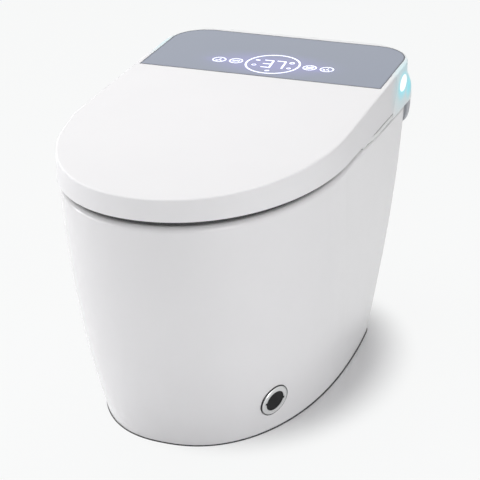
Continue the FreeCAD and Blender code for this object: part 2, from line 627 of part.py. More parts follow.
def rear_housing():
    low_z = RIM_H + GAP
    wide = housing_plan(HOUSING_CORNER_R, SWELL_TOP_Z, ABOVE_Z)
    cheek = cheek_end(GAP).common(box(NARROW_HALF_W, HALF_W + 1, HINGE_Y - 1, REAR_Y, RIM_H, ABOVE_Z))
    wide = under_top(wide, 0)
    rim = [e for e in long_edges(edges_at(wide, on_top_plane), 1) if e.BoundBox.YMax > CHEEK_REAR_Y]
    rim += [e for e in edges_at(wide, on_top_plane) if e.BoundBox.YMin > REAR_Y - 0.01]
    wide = wide.makeFillet(HOUSING_EDGE_R, rim).fuse(housing_swell(low_z))
    wide = wide.cut(cheek).cut(mirrored(cheek))
    narrow = under_top(box(-NARROW_HALF_W, NARROW_HALF_W, PANEL_FRONT_Y, CHEEK_REAR_Y + 10,
                           LID_Z, ABOVE_Z), 0)
    apron = box(-APRON_HALF_W, APRON_HALF_W, PANEL_FRONT_Y, PANEL_FRONT_Y + SHELL_T, low_z, LID_Z + 1)
    shell = wide.fuse(narrow).fuse(apron)
    roomy = round_plan(HALF_W - SHELL_T, CHEEK_REAR_Y + GAP + SHELL_T, REAR_Y - SHELL_T,
                       HOUSING_CORNER_R - SHELL_T, RIM_H, ABOVE_Z)
    slim = box(-NARROW_HALF_W + SHELL_T, NARROW_HALF_W - SHELL_T, PANEL_FRONT_Y + SHELL_T,
               CHEEK_REAR_Y + 10, RIM_H, ABOVE_Z)
    skirt = round_plan(HALF_W - SHELL_T, CHEEK_REAR_Y + GAP + SHELL_T, REAR_Y - SHELL_T,
                       SWELL_CORNER_R - SHELL_T, RIM_H, SWELL_STRAIGHT_Z)
    shell = shell.cut(under_top(roomy.fuse(slim), GLASS_T + SHELL_T)).cut(skirt)
    side = HALF_W - SHELL_T
    shell = shell.cut(box(-side, side, PANEL_FRONT_Y + SHELL_T, CHEEK_REAR_Y + 10, RIM_H, LID_Z))
    pocket = round_plan(NARROW_HALF_W + GLASS_SEAT, PANEL_FRONT_Y - 1, PANEL_REAR_Y + GLASS_SEAT,
                        PANEL_CORNER_R + GLASS_SEAT, RIM_H, ABOVE_Z)
    shell = shell.cut(pocket.common(slab(-ABOVE_Z, GLASS_T)))
    shell = shell.cut(box(-DISPLAY_HALF_W, DISPLAY_HALF_W, DISPLAY_Y0, DISPLAY_Y1, HINGE_Z, ABOVE_Z))
    shaft_hole = hinge_rod(SHAFT_R + GAP, NARROW_HALF_W - 2 * SHELL_T, NARROW_HALF_W + 1)
    shell = shell.cut(shaft_hole).cut(mirrored(shaft_hole))
    y0, y1 = PANEL_FRONT_Y - 1, PANEL_FRONT_Y + SHELL_T + 1
    shell = shell.cut(box(-PORT_HALF_W, PORT_HALF_W, y0, y1, RIM_H, LID_Z + 3))
    shell = shell.cut(box(DUCT_X0, DUCT_X1, y0, y1, FLAP_LOW_Z, FLAP_LOW_Z + FLAP_H))
    pin_end = FLAP_PIN_REACH + FLAP_GAP
    shell = shell.cut(rod_x(FLAP_PIN_R + FIT, DUCT_X0 - pin_end, DUCT_X1 + pin_end, FLAP_Y, FLAP_Z))
    light = light_oval(0, HALF_W - SHELL_T - 1, HALF_W + 1)
    shell = shell.cut(light).cut(mirrored(light))
    for i in range(VENT_COUNT):
        x = (i - (VENT_COUNT - 1) / 2) * VENT_PITCH
        shell = shell.cut(box(x - VENT_W / 2, x + VENT_W / 2, REAR_Y - 2 * SHELL_T, REAR_Y + 1,
                              VENT_Z0, VENT_Z1))
    return shell

def display_board():
    board = box(-DISPLAY_HALF_W + BOARD_GAP, DISPLAY_HALF_W - BOARD_GAP, DISPLAY_Y0 + BOARD_GAP,
                DISPLAY_Y1 - BOARD_GAP, HINGE_Z, ABOVE_Z)
    return board.common(slab(GLASS_T, GLASS_T + BOARD_T))

def side_light():
    return light_oval(FIT, HALF_W - SHELL_T, HALF_W)

save("glass_panel", glass_panel())
save("rear_housing", rear_housing())
save("display_board", display_board())
save("side_light_right", side_light())
save("side_light_left", mirrored(side_light()))

# Grey rear cover under the housing, with the water inlet and the power gland
COVER_T = 2.5
COVER_GAP = 2.0
COVER_INSET = 0.7
INLET_X = 115.0
INLET_SETBACK = 29.0
INLET_R = 8.3
INLET_NECK_R = 6.5
INLET_BORE_R = 4.5
INLET_LENGTH = 18.0
NECK_LENGTH = 10.0
GLAND_R = 7.0
GLAND_NECK_R = 5.5
GLAND_BORE_R = 4.0
GLAND_LENGTH = 11.0
COVER_FRONT_Y = CERAMIC_REAR_Y + COVER_GAP
INLET_Y = REAR_Y - INLET_SETBACK
COVER_Z = RIM_H - COVER_DROP

def cover_wire(inset, drop, tuck):
    # Rear outline of the cover at a depth below the housing, drawn in by the tuck
    radius = SWELL_CORNER_R - COVER_INSET - inset - tuck
    corner_x, corner_y = HALF_W - SWELL_CORNER_R, REAR_Y - SWELL_CORNER_R
    start = math.asin((COVER_FRONT_Y + inset - corner_y) / radius)
    z = RIM_H - drop
    right = [V(corner_x + radius * math.cos(turn), corner_y + radius * math.sin(turn), z)
             for turn in (start, (start + math.pi / 2) / 2, math.pi / 2)]
    left = [V(-p.x, p.y, p.z) for p in reversed(right)]
    return Part.Wire([Part.Arc(*right).toShape(), Part.makeLine(right[2], left[0]),
                      Part.Arc(*left).toShape(), Part.makeLine(left[2], right[0])])

def rear_cover():
    steps = ((0.0, 0.0), (0.36, 0.05), (0.64, 0.2), (0.8, 0.4), (0.92, 0.64), (1.0, 1.0))
    outer = Part.makeLoft([cover_wire(0, COVER_DROP * d, COVER_TUCK * t) for d, t in steps], True, True)
    depth = COVER_DROP - COVER_T
    inner = Part.makeLoft([cover_wire(COVER_T, depth * d - (0.01 if d == 0 else 0), COVER_TUCK * t)
                           for d, t in steps], True, True)
    shell = outer.cut(inner)
    inlet = rod_z(INLET_NECK_R + FIT, INLET_X, INLET_Y, COVER_Z - 1, COVER_Z + COVER_T + 1)
    gland = rod_z(GLAND_NECK_R + FIT, -INLET_X, INLET_Y, COVER_Z - 1, COVER_Z + COVER_T + 1)
    return shell.cut(inlet).cut(gland)

def stepped_stub(x, radius, length, neck_r, bore_r):
    # Stub below the cover whose neck passes up through the cover's floor
    stub = rod_z(radius, x, INLET_Y, COVER_Z - length, COVER_Z)
    stub = stub.fuse(rod_z(neck_r, x, INLET_Y, COVER_Z, COVER_Z + NECK_LENGTH))
    return stub.cut(rod_z(bore_r, x, INLET_Y, COVER_Z - length - 1, COVER_Z + NECK_LENGTH + 1))

save("rear_cover", rear_cover())
save("water_inlet", stepped_stub(INLET_X, INLET_R, INLET_LENGTH, INLET_NECK_R, INLET_BORE_R))
save("power_gland", stepped_stub(-INLET_X, GLAND_R, GLAND_LENGTH, GLAND_NECK_R, GLAND_BORE_R))

# Spray wands: round tubes on racks, driven by pinions on small stepper motors, in one tilted guide
PITCH_R = GEAR_MODULE * GEAR_TEETH / 2
TOOTH_PITCH = math.pi * GEAR_MODULE
TOOTH_HALF = 0.21 * TOOTH_PITCH
TOOTH_ABOVE = 0.8 * GEAR_MODULE
TOOTH_BELOW = 1.2 * GEAR_MODULE
FLANK = math.tan(math.radians(20.0))
WAND_REAR_Y = WAND_Y + WAND_TIP + WAND_LENGTH
RACK_LEAD = 2.0
RACK_FRONT_Y = WAND_Y + WAND_TIP + RACK_LEAD
RACK_HALF_W = 2.2
PINION_Z = WAND_Z + RACK_PITCH_H + PITCH_R
PIN_R = 2.0
EAR_GAP = 2.5
EAR_X0 = WAND_X + GEAR_W / 2 + EAR_GAP
EAR_T = 2.0
EAR_HALF_Y = 15.0
GUIDE_HALF_W = 24.0
GUIDE_BACK = 35.0
GUIDE_LENGTH = 105.0
GUIDE_BELOW = 9.0
GUIDE_ABOVE = 6.0
GUIDE_FOOT_BACK = 96.0
GUIDE_FOOT_L = 16.0
GUIDE_FOOT_H = 12.0
SPRAY_R = 1.2
GUIDE_FRONT_Y = WAND_Y + GUIDE_BACK
GUIDE_REAR_Y = GUIDE_FRONT_Y + GUIDE_LENGTH
GUIDE_FOOT_Y0 = WAND_Y + GUIDE_FOOT_BACK
GUIDE_FOOT_Y1 = GUIDE_FOOT_Y0 + GUIDE_FOOT_L

def tilted(shape):
    turned = shape.copy()
    turned.rotate(V(0, WAND_Y, WAND_Z), X_AXIS, WAND_TILT)
    return turned

def wand_rod(radius, y0, y1):
    return rod(radius, WAND_X, y0, WAND_Z, Y_AXIS, y1 - y0)

def rack_bar():
    # Straight rack with a tooth gap under the pinion at rest
    x0, x1 = WAND_X - RACK_HALF_W, WAND_X + RACK_HALF_W
    pitch_z = WAND_Z + RACK_PITCH_H
    root_z = pitch_z - TOOTH_BELOW
    bar = box(x0, x1, RACK_FRONT_Y, WAND_REAR_Y, WAND_Z + WAND_R / 2, root_z)
    root_half = TOOTH_HALF + TOOTH_BELOW * FLANK
    tip_half = TOOTH_HALF - TOOTH_ABOVE * FLANK
    first = math.ceil((RACK_FRONT_Y + root_half - PINION_Y) / TOOTH_PITCH - 0.5)
    last = math.floor((WAND_REAR_Y - root_half - PINION_Y) / TOOTH_PITCH - 0.5)
    teeth = []
    for i in range(first, last + 1):
        y = PINION_Y + (i + 0.5) * TOOTH_PITCH
        corners = [V(x0, y - root_half, root_z), V(x0, y + root_half, root_z),
                   V(x0, y + tip_half, pitch_z + TOOTH_ABOVE), V(x0, y - tip_half, pitch_z + TOOTH_ABOVE)]
        teeth.append(Part.Face(Part.makePolygon(corners + corners[:1])).extrude(V(x1 - x0, 0, 0)))
    return bar.fuse(teeth)

def wash_wand():
    tube = wand_rod(WAND_R, WAND_Y + WAND_TIP, WAND_REAR_Y)
    return tilted(tube.fuse(rack_bar()).removeSplitter())

def nozzle_tip():
    tip = wand_rod(WAND_R, WAND_Y, WAND_Y + WAND_TIP)
    tip = tip.makeFillet(WAND_R / 2, edges_at(tip, lambda p: abs(p.y - WAND_Y) < 0.01))
    hole = rod_z(SPRAY_R, WAND_X, WAND_Y + WAND_TIP / 2, WAND_Z, WAND_Z + WAND_R + 1)
    return tilted(tip.cut(hole))

def wand_pinion():
    # Twelve straight-flanked teeth, one of them pointing down into the rack
    steps = ((PITCH_R - TOOTH_BELOW, TOOTH_HALF + TOOTH_BELOW * FLANK), (PITCH_R, TOOTH_HALF),
             (PITCH_R + TOOTH_ABOVE, TOOTH_HALF - TOOTH_ABOVE * FLANK))
    x0 = WAND_X - GEAR_W / 2
    points = []
    for i in range(GEAR_TEETH):
        middle = 2 * math.pi * i / GEAR_TEETH - math.pi / 2
        flank = [(r, -half / r) for r, half in steps] + [(r, half / r) for r, half in reversed(steps)]
        for r, turn in flank:
            y = PINION_Y + r * math.cos(middle + turn)
            points.append(V(x0, y, PINION_Z + r * math.sin(middle + turn)))
    gear = Part.Face(Part.makePolygon(points + points[:1])).extrude(V(GEAR_W, 0, 0))
    return tilted(gear.cut(rod_x(PIN_R + FIT, x0 - 1, x0 + GEAR_W + 1, PINION_Y, PINION_Z)))

def wand_motor():
    face_x = EAR_X0 + EAR_T
    motor = rod_x(MOTOR_R, face_x, face_x + MOTOR_L, PINION_Y, PINION_Z)
    shaft = rod_x(PIN_R, WAND_X - GEAR_W / 2, face_x + 1, PINION_Y, PINION_Z)
    return tilted(motor.fuse(shaft))

def wand_guide():
    block = box(-GUIDE_HALF_W, GUIDE_HALF_W, GUIDE_FRONT_Y, GUIDE_REAR_Y,
                WAND_Z - GUIDE_BELOW, WAND_Z + GUIDE_ABOVE)
    ear = box(EAR_X0, EAR_X0 + EAR_T, PINION_Y - EAR_HALF_Y, GUIDE_FRONT_Y + EAR_HALF_Y,
              WAND_Z + GUIDE_ABOVE - 1, PINION_Z + EAR_HALF_Y)
    ear = ear.cut(rod_x(2 * PIN_R, EAR_X0 - 1, EAR_X0 + EAR_T + 1, PINION_Y, PINION_Z))
    bore = wand_rod(WAND_R + WAND_GAP, GUIDE_FRONT_Y - 1, GUIDE_REAR_Y + 1)
    slot_half = RACK_HALF_W + 2 * WAND_GAP
    slot = box(WAND_X - slot_half, WAND_X + slot_half, GUIDE_FRONT_Y - 1, GUIDE_REAR_Y + 1,
               WAND_Z, WAND_Z + GUIDE_ABOVE + 1)
    block = block.fuse(ear).fuse(mirrored(ear))
    block = tilted(block.cut(bore).cut(slot).cut(mirrored(bore)).cut(mirrored(slot)))
    foot = box(-GUIDE_HALF_W, GUIDE_HALF_W, GUIDE_FOOT_Y0, GUIDE_FOOT_Y1, LID_Z, LID_Z + GUIDE_FOOT_H)
    foot = foot.cut(tilted(box(-GUIDE_HALF_W, GUIDE_HALF_W, GUIDE_FRONT_Y, GUIDE_REAR_Y + LENGTH,
                               WAND_Z - GUIDE_BELOW, ABOVE_Z)))
    return block.fuse(foot).removeSplitter()

save("wand_guide", wand_guide())
for side, place in (("rear", lambda shape: shape), ("front", mirrored)):
    save("wash_wand_" + side, place(wash_wand()))
    save("nozzle_tip_" + side, place(nozzle_tip()))
    save("wand_pinion_" + side, place(wand_pinion()))
    save("wand_motor_" + side, place(wand_motor()))

# Warm-air dryer: blower case, squirrel-cage impeller, motor and outlet flap
BLOWER_BACK = 62.0
BLOWER_H = 38.0
CASE_T = 2.5
DUCT_H = 22.0
IMPELLER_R = 33.0
IMPELLER_EYE_R = 25.0
IMPELLER_LIFT = 6.0
IMPELLER_H = 17.0
IMPELLER_DISC = 2.0
IMPELLER_HUB_R = 6.0
BLADE_COUNT = 18
BLADE_T = 1.4
BLOWER_MOTOR_R = 15.0
BLOWER_MOTOR_LIFT = 26.0
BLOWER_MOTOR_H = 18.0
BLOWER_PIN_R = 2.5
BLOWER_Y = HINGE_Y + BLOWER_BACK
IMPELLER_Z0 = LID_Z + IMPELLER_LIFT
BLOWER_MOTOR_Z0 = LID_Z + BLOWER_MOTOR_LIFT

def blower_case():
    # Round case with a duct whose front end drops to the outlet slot
    x0, x1 = DUCT_X0 + CASE_T, DUCT_X1 - CASE_T
    low = RIM_H + GAP
    high = LID_Z + DUCT_H
    drop_y = DUCT_FRONT_Y + DUCT_DROP
    case = rod_z(BLOWER_R, BLOWER_X, BLOWER_Y, LID_Z, LID_Z + BLOWER_H)
    case = case.fuse(box(DUCT_X0, DUCT_X1, DUCT_FRONT_Y, BLOWER_Y, LID_Z, high))
    case = case.fuse(box(DUCT_X0, DUCT_X1, DUCT_FRONT_Y, drop_y, low, high))
    inside = rod_z(BLOWER_R - CASE_T, BLOWER_X, BLOWER_Y, LID_Z + CASE_T, LID_Z + BLOWER_H - CASE_T)
    inside = inside.fuse(box(x0, x1, DUCT_FRONT_Y + CASE_T, BLOWER_Y, LID_Z + CASE_T, high - CASE_T))
    inside = inside.fuse(box(x0, x1, DUCT_FRONT_Y - 1, drop_y - CASE_T, low + CASE_T, LID_Z + CASE_T))
    motor_hole = rod_z(BLOWER_MOTOR_R, BLOWER_X, BLOWER_Y, LID_Z + CASE_T, ABOVE_Z)
    return case.cut(inside).cut(motor_hole).removeSplitter()

def blower_impeller():
    top = IMPELLER_Z0 + IMPELLER_H
    disc = rod_z(IMPELLER_R, BLOWER_X, BLOWER_Y, IMPELLER_Z0, IMPELLER_Z0 + IMPELLER_DISC)
    wheel = disc.fuse(rod_z(IMPELLER_HUB_R, BLOWER_X, BLOWER_Y, IMPELLER_Z0, top))
    blades = []
    for i in range(BLADE_COUNT):
        blade = box(IMPELLER_EYE_R, IMPELLER_R - 0.5, -BLADE_T / 2, BLADE_T / 2,
                    IMPELLER_Z0 + IMPELLER_DISC / 2, top)
        blade.rotate(V((IMPELLER_EYE_R + IMPELLER_R) / 2, 0, 0), Z_AXIS, 30)
        blade.rotate(V(0, 0, 0), Z_AXIS, 360.0 * i / BLADE_COUNT)
        blade.translate(V(BLOWER_X, BLOWER_Y, 0))
        blades.append(blade)
    wheel = wheel.fuse(blades)
    return wheel.cut(rod_z(BLOWER_PIN_R + FIT, BLOWER_X, BLOWER_Y, IMPELLER_Z0 - 1, top + 1))

def blower_motor():
    motor = rod_z(BLOWER_MOTOR_R, BLOWER_X, BLOWER_Y, BLOWER_MOTOR_Z0, BLOWER_MOTOR_Z0 + BLOWER_MOTOR_H)
    return motor.fuse(rod_z(BLOWER_PIN_R, BLOWER_X, BLOWER_Y, IMPELLER_Z0, BLOWER_MOTOR_Z0 + 1))

def dryer_flap():
    # Thin flap hung on a top pin, inside its slot in the housing's apron
    x0, x1 = DUCT_X0 + FLAP_GAP, DUCT_X1 - FLAP_GAP
    flap = box(x0, x1, FLAP_Y - FLAP_T / 2, FLAP_Y + FLAP_T / 2, FLAP_LOW_Z + FLAP_GAP, FLAP_Z)
    flap = flap.fuse(rod_x(FLAP_KNUCKLE_R, x0, x1, FLAP_Y, FLAP_Z))
    pin = rod_x(FLAP_PIN_R, DUCT_X0 - FLAP_PIN_REACH, DUCT_X1 + FLAP_PIN_REACH, FLAP_Y, FLAP_Z)
    return flap.fuse(pin).removeSplitter()

save("blower_case", blower_case())
save("blower_impeller", blower_impeller())
save("blower_motor", blower_motor())
save("dryer_flap", dryer_flap())

# Deodoriser: axial fan in its frame, with a carbon filter behind it
FAN_BACK = 68.0
FAN_R = 18.5
FAN_CASE_HALF = 21.0
FAN_BLADES = 7
FAN_HUB_R = 7.0
FAN_W = 12.0
FAN_PIN_R = 2.0
FAN_Y = HINGE_Y + FAN_BACK
FAN_Z = LID_Z + FAN_CASE_HALF
FAN_RUN = 0.8
STRUT_T = 3.0
FILTER_T = 14.0
FILTER_CORNER_R = 2.0

def fan_frame():
    frame = box(FAN_X0, FAN_X1, FAN_Y - FAN_CASE_HALF, FAN_Y + FAN_CASE_HALF,
                LID_Z, LID_Z + 2 * FAN_CASE_HALF)
    frame = frame.cut(rod_x(FAN_R, FAN_X0 - 1, FAN_X1 + 1, FAN_Y, FAN_Z))
    hub = rod_x(FAN_HUB_R, FAN_X0, FAN_X0 + STRUT_T, FAN_Y, FAN_Z)
    hub = hub.fuse(rod_x(FAN_PIN_R, FAN_X0, FAN_X0 + STRUT_T + FAN_W, FAN_Y, FAN_Z))
    for half_y, half_z in ((FAN_R + 1, STRUT_T / 2), (STRUT_T / 2, FAN_R + 1)):
        hub = hub.fuse(box(FAN_X0, FAN_X0 + STRUT_T, FAN_Y - half_y, FAN_Y + half_y,
                           FAN_Z - half_z, FAN_Z + half_z))
    return frame.fuse(hub).removeSplitter()

def deodoriser_fan():
    x0 = FAN_X0 + STRUT_T + FAN_RUN
    x1 = x0 + FAN_W
    wheel = rod_x(FAN_HUB_R, x0, x1, FAN_Y, FAN_Z)
    for i in range(FAN_BLADES):
        blade = box(-FAN_W / 2 + 1, FAN_W / 2 - 1, -BLADE_T / 2, BLADE_T / 2,
                    FAN_HUB_R - 1, FAN_R - 2 * FAN_RUN)
        blade.rotate(V(0, 0, 0), Z_AXIS, 38)
        blade.rotate(V(0, 0, 0), X_AXIS, 360.0 * i / FAN_BLADES)
        blade.translate(V((x0 + x1) / 2, FAN_Y, FAN_Z))
        wheel = wheel.fuse(blade)
    return wheel.cut(rod_x(FAN_PIN_R + FIT, x0 - 1, x1 + 1, FAN_Y, FAN_Z))

def carbon_filter():
    y0 = FAN_Y + FAN_CASE_HALF
    block = box(FAN_X0, FAN_X1, y0, y0 + FILTER_T, LID_Z, LID_Z + 2 * FAN_CASE_HALF)
    return block.makeFillet(FILTER_CORNER_R, upright_edges(block))

save("fan_frame", fan_frame())
save("deodoriser_fan", deodoriser_fan())
save("carbon_filter", carbon_filter())

# Water heater, inlet valve, flush pump and control box
HEATER_X = 58.0
HEATER_W = 88.0
HEATER_BACK = 56.0
HEATER_L = 52.0
HEATER_H = 30.0
HEATER_CORNER_R = 9.0
SPOUT_R = 4.0
SPOUT_LENGTH = 10.0
SPOUT_MARGIN = 15.0
VALVE_X = 62.0
VALVE_W = 38.0
VALVE_BACK = 6.0
VALVE_L = 40.0
VALVE_H = 16.0
COIL_R = 12.0
COIL_H = 18.0
PUMP_X = 88.0
PUMP_BACK = 54.0
PUMP_R = 33.0
PUMP_H = 112.0
PUMP_NECK_R = 12.0
PUMP_NECK_H = 24.0
CONTROL_X = 20.0
CONTROL_W = 130.0
CONTROL_BACK = 74.0
CONTROL_L = 46.0
CONTROL_T = 14.0
CASE_CORNER_R = 2.0

def block_on_base(x, width, back, length, height):
    # Block on the base plate, placed from the hinge line
    y = HINGE_Y + back
    return box(x, x + width, y, y + length, LID_Z, LID_Z + height)

def water_heater():
    tank = block_on_base(HEATER_X, HEATER_W, HEATER_BACK, HEATER_L, HEATER_H)
    tank = tank.makeFillet(HEATER_CORNER_R, upright_edges(tank))
    y0 = HINGE_Y + HEATER_BACK
    for y in (y0 + SPOUT_MARGIN, y0 + HEATER_L - SPOUT_MARGIN):
        tank = tank.fuse(rod_x(SPOUT_R, HEATER_X - SPOUT_LENGTH, HEATER_X + 1, y, LID_Z + HEATER_H / 2))
    return tank.removeSplitter()

def inlet_valve():
    block = block_on_base(VALVE_X, VALVE_W, VALVE_BACK, VALVE_L, VALVE_H)
    block = block.makeFillet(CASE_CORNER_R, upright_edges(block))
    x, y = VALVE_X + VALVE_W / 2, HINGE_Y + VALVE_BACK + VALVE_L / 2
    return block.fuse(rod_z(COIL_R, x, y, LID_Z + VALVE_H - 1, LID_Z + VALVE_H + COIL_H))

def flush_pump():
    y, low = SERVICE_Y0 + PUMP_BACK, RIM_H - PUMP_H
    body = rod_z(PUMP_R, PUMP_X, y, low, RIM_H)
    body = body.makeFillet(PUMP_NECK_R / 2, edges_at(body, lambda p: p.z < low + 1))
    return body.fuse(rod_z(PUMP_NECK_R, PUMP_X, y, low - PUMP_NECK_H, low + 1))

def control_box():
    case = block_on_base(CONTROL_X, CONTROL_W, CONTROL_BACK, CONTROL_L, ABOVE_Z - LID_Z)
    case = case.common(slab(GLASS_T + SHELL_T, GLASS_T + SHELL_T + CONTROL_T))
    return case.makeFillet(CASE_CORNER_R, upright_edges(case))

save("water_heater", water_heater())
save("inlet_valve", inlet_valve())
save("flush_pump", flush_pump())
save("control_box", control_box())

# Foot sensor low on the skirt, and the rubber seal at the waste outlet
RING_BEVEL = 1.5
GASKET_T = 0.8
LENS_SUNK = 0.6
LENS_TAB = 2.2
LENS_TAB_HALF = 2.0
SENSOR_DEPTH = 42.0
SEAL_R = 56.0
SEAL_H = 26.0
SEAL_LIP = 5.0

def foot_sensor_gasket():
    disc = sensor_rod(SENSOR_RING_R, -SEAT_DEPTH, GASKET_T - SEAT_DEPTH)
    return disc.cut(sensor_rod(SENSOR_BODY_R + GAP, -2 * SEAT_DEPTH, SEAT_DEPTH))

def foot_sensor_ring():
    ring = sensor_rod(SENSOR_RING_R, GASKET_T - SEAT_DEPTH, SENSOR_PROUD)
    front = SENSOR_AT + SENSOR_OUT * SENSOR_PROUD
    outer = [e for e in ring.Edges if len(e.Vertexes) == 1]
    rim = [e for e in outer if abs((e.CenterOfMass - front).dot(SENSOR_OUT)) < 0.01]
    ring = ring.makeChamfer(RING_BEVEL, rim)
    ring = ring.cut(sensor_rod(SENSOR_LENS_R, -2 * SEAT_DEPTH, 2 * SENSOR_PROUD))
    return ring.cut(sensor_box(SENSOR_LENS_R + LENS_TAB, LENS_TAB_HALF, -2 * SEAT_DEPTH, 2 * SENSOR_PROUD))

def foot_sensor_lens():
    low, high = GASKET_T - SEAT_DEPTH, SENSOR_PROUD - LENS_SUNK
    tabs = sensor_box(SENSOR_LENS_R + LENS_TAB - FIT, LENS_TAB_HALF - FIT, low, high)
    return sensor_rod(SENSOR_LENS_R - FIT, low, high).fuse(tabs).removeSplitter()

def foot_sensor_body():
    return sensor_rod(SENSOR_BODY_R, -SENSOR_DEPTH, GASKET_T - SEAT_DEPTH)

def outlet_seal():
    spigot = TRAP_R + TRAP_WALL
    ring = rod_z(SEAL_R, 0, OUTLET_Y, 0, SEAL_LIP).fuse(rod_z(spigot + SEAL_LIP, 0, OUTLET_Y, 0, SEAL_H))
    ring = ring.cut(rod_z(spigot, 0, OUTLET_Y, OUTLET_Z, SEAL_H + 1))
    return ring.cut(rod_z(spigot - SEAL_LIP, 0, OUTLET_Y, -1, OUTLET_Z + 1)).removeSplitter()

save("foot_sensor_gasket", foot_sensor_gasket())
save("foot_sensor_ring", foot_sensor_ring())
save("foot_sensor_lens", foot_sensor_lens())
save("foot_sensor_body", foot_sensor_body())
save("outlet_seal", outlet_seal())
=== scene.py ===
import math
import bmesh
import bpy
import numpy as np
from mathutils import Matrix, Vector


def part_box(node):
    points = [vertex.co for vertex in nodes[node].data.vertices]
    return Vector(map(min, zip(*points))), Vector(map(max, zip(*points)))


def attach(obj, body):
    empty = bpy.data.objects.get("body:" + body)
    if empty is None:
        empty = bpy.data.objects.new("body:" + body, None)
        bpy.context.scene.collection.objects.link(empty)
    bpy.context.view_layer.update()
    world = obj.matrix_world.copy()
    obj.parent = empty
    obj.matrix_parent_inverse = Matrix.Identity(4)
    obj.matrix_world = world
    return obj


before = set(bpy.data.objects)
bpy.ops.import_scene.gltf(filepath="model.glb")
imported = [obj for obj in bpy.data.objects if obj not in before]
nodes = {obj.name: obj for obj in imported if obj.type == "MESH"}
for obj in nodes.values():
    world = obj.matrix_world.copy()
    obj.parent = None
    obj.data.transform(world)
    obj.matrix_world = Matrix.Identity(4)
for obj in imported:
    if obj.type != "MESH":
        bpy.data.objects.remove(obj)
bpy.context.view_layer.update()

# Camera: the photograph's view, with a long lens from the front right and a little above the lid.
scene = bpy.context.scene
scene.view_settings.view_transform = "Standard"
LENS_MM, LOOK_DOWN_DEG, LOOK_LEFT_DEG = 126.26, 22.65, 19.98
photo_camera = bpy.data.objects.new("photo_camera", bpy.data.cameras.new("photo_camera"))
scene.collection.objects.link(photo_camera)
photo_camera.location = (0.822, -2.197, 1.1954)
photo_camera.rotation_euler = (math.radians(90 - LOOK_DOWN_DEG), 0, math.radians(LOOK_LEFT_DEG))
photo_camera.data.lens = LENS_MM
photo_camera.data.sensor_width = 36
photo_camera.data.clip_start = 0.1
scene.camera = photo_camera

# Studio: a pale floor that runs into white, soft lamps overhead, in front and at both sides, and a
# fill from the surroundings that is stronger at the rear. Seen straight, in a reflection or through
# glass, the floor and the surroundings stay near white.
STUDIO_WHITE = (0.945, 0.951, 0.950, 1)
FLOOR_HALF = 14.0
FLOOR_SEEN, FLOOR_BOUNCE = (0.94, 0.937, 0.945, 1), (0.76, 0.765, 0.77, 1)
SHADOW_MIDDLE, SHADOW_HALF = (0.042, 0.050, 0), (0.203, 0.275, 1)
FADE_START, FADE_END, WHITE_SHARE = 0.74, 1.20, 0.97
SKY_SLOPE, SKY_FILL = (0, 0.26, 0), 0.31

def new_material(name):
    material = bpy.data.materials.new(name)
    material.use_nodes = True
    tree = material.node_tree
    tree.nodes.clear()
    return material, tree.nodes, tree.links

def seen_directly(made, link):
    # One for rays from the camera, a mirror or glass, and none for diffuse rays
    path = made.new("ShaderNodeLightPath")
    seen = path.outputs["Is Camera Ray"]
    for ray in ("Is Glossy Ray", "Is Transmission Ray"):
        either = made.new("ShaderNodeMath")
        either.operation = "MAXIMUM"
        link.new(seen, either.inputs[0])
        link.new(path.outputs[ray], either.inputs[1])
        seen = either.outputs[0]
    return seen

def studio_floor():
    # A level square that takes the shadow inside an oval round the foot and fades to white outside it
    x, y = np.meshgrid([-FLOOR_HALF, FLOOR_HALF], [-FLOOR_HALF, FLOOR_HALF])
    corners = np.stack([x, y, np.zeros_like(x)], -1).reshape(-1, 3)
    mesh = bpy.data.meshes.new("studio_floor")
    mesh.from_pydata(corners.tolist(), [], [(0, 1, 3, 2)])
    floor = bpy.data.objects.new("studio_floor", mesh)
    scene.collection.objects.link(floor)
    material, made, link = new_material("studio_floor")
    out = made.new("ShaderNodeOutputMaterial")
    seen = seen_directly(made, link)
    paint = made.new("ShaderNodeBsdfDiffuse")
    colour = made.new("ShaderNodeMix")
    colour.data_type = "RGBA"
    link.new(seen, colour.inputs["Factor"])
    colour.inputs["A"].default_value = FLOOR_BOUNCE
    colour.inputs["B"].default_value = FLOOR_SEEN
    link.new(colour.outputs["Result"], paint.inputs["Color"])
    white = made.new("ShaderNodeEmission")
    white.inputs["Color"].default_value = STUDIO_WHITE
    where, oval = made.new("ShaderNodeTexCoord"), made.new("ShaderNodeMapping")
    oval.vector_type = "TEXTURE"
    link.new(where.outputs["Object"], oval.inputs["Vector"])
    oval.inputs["Location"].default_value = SHADOW_MIDDLE
    oval.inputs["Scale"].default_value = SHADOW_HALF
    away = made.new("ShaderNodeVectorMath")
    away.operation = "LENGTH"
    link.new(oval.outputs[0], away.inputs[0])
    backdrop = made.new("ShaderNodeMapRange")
    backdrop.interpolation_type = "SMOOTHSTEP"
    link.new(away.outputs["Value"], backdrop.inputs["Value"])
    backdrop.inputs["From Min"].default_value = FADE_START
    backdrop.inputs["From Max"].default_value = FADE_END
    backdrop.inputs["To Max"].default_value = WHITE_SHARE
    share = made.new("ShaderNodeMath")
    share.operation = "MULTIPLY"
    link.new(backdrop.outputs["Result"], share.inputs[0])
    link.new(seen, share.inputs[1])
    blend = made.new("ShaderNodeMixShader")
    link.new(share.outputs[0], blend.inputs["Fac"])
    link.new(paint.outputs[0], blend.inputs[1])
    link.new(white.outputs[0], blend.inputs[2])
    link.new(blend.outputs[0], out.inputs["Surface"])
    mesh.materials.append(material)

studio_floor()

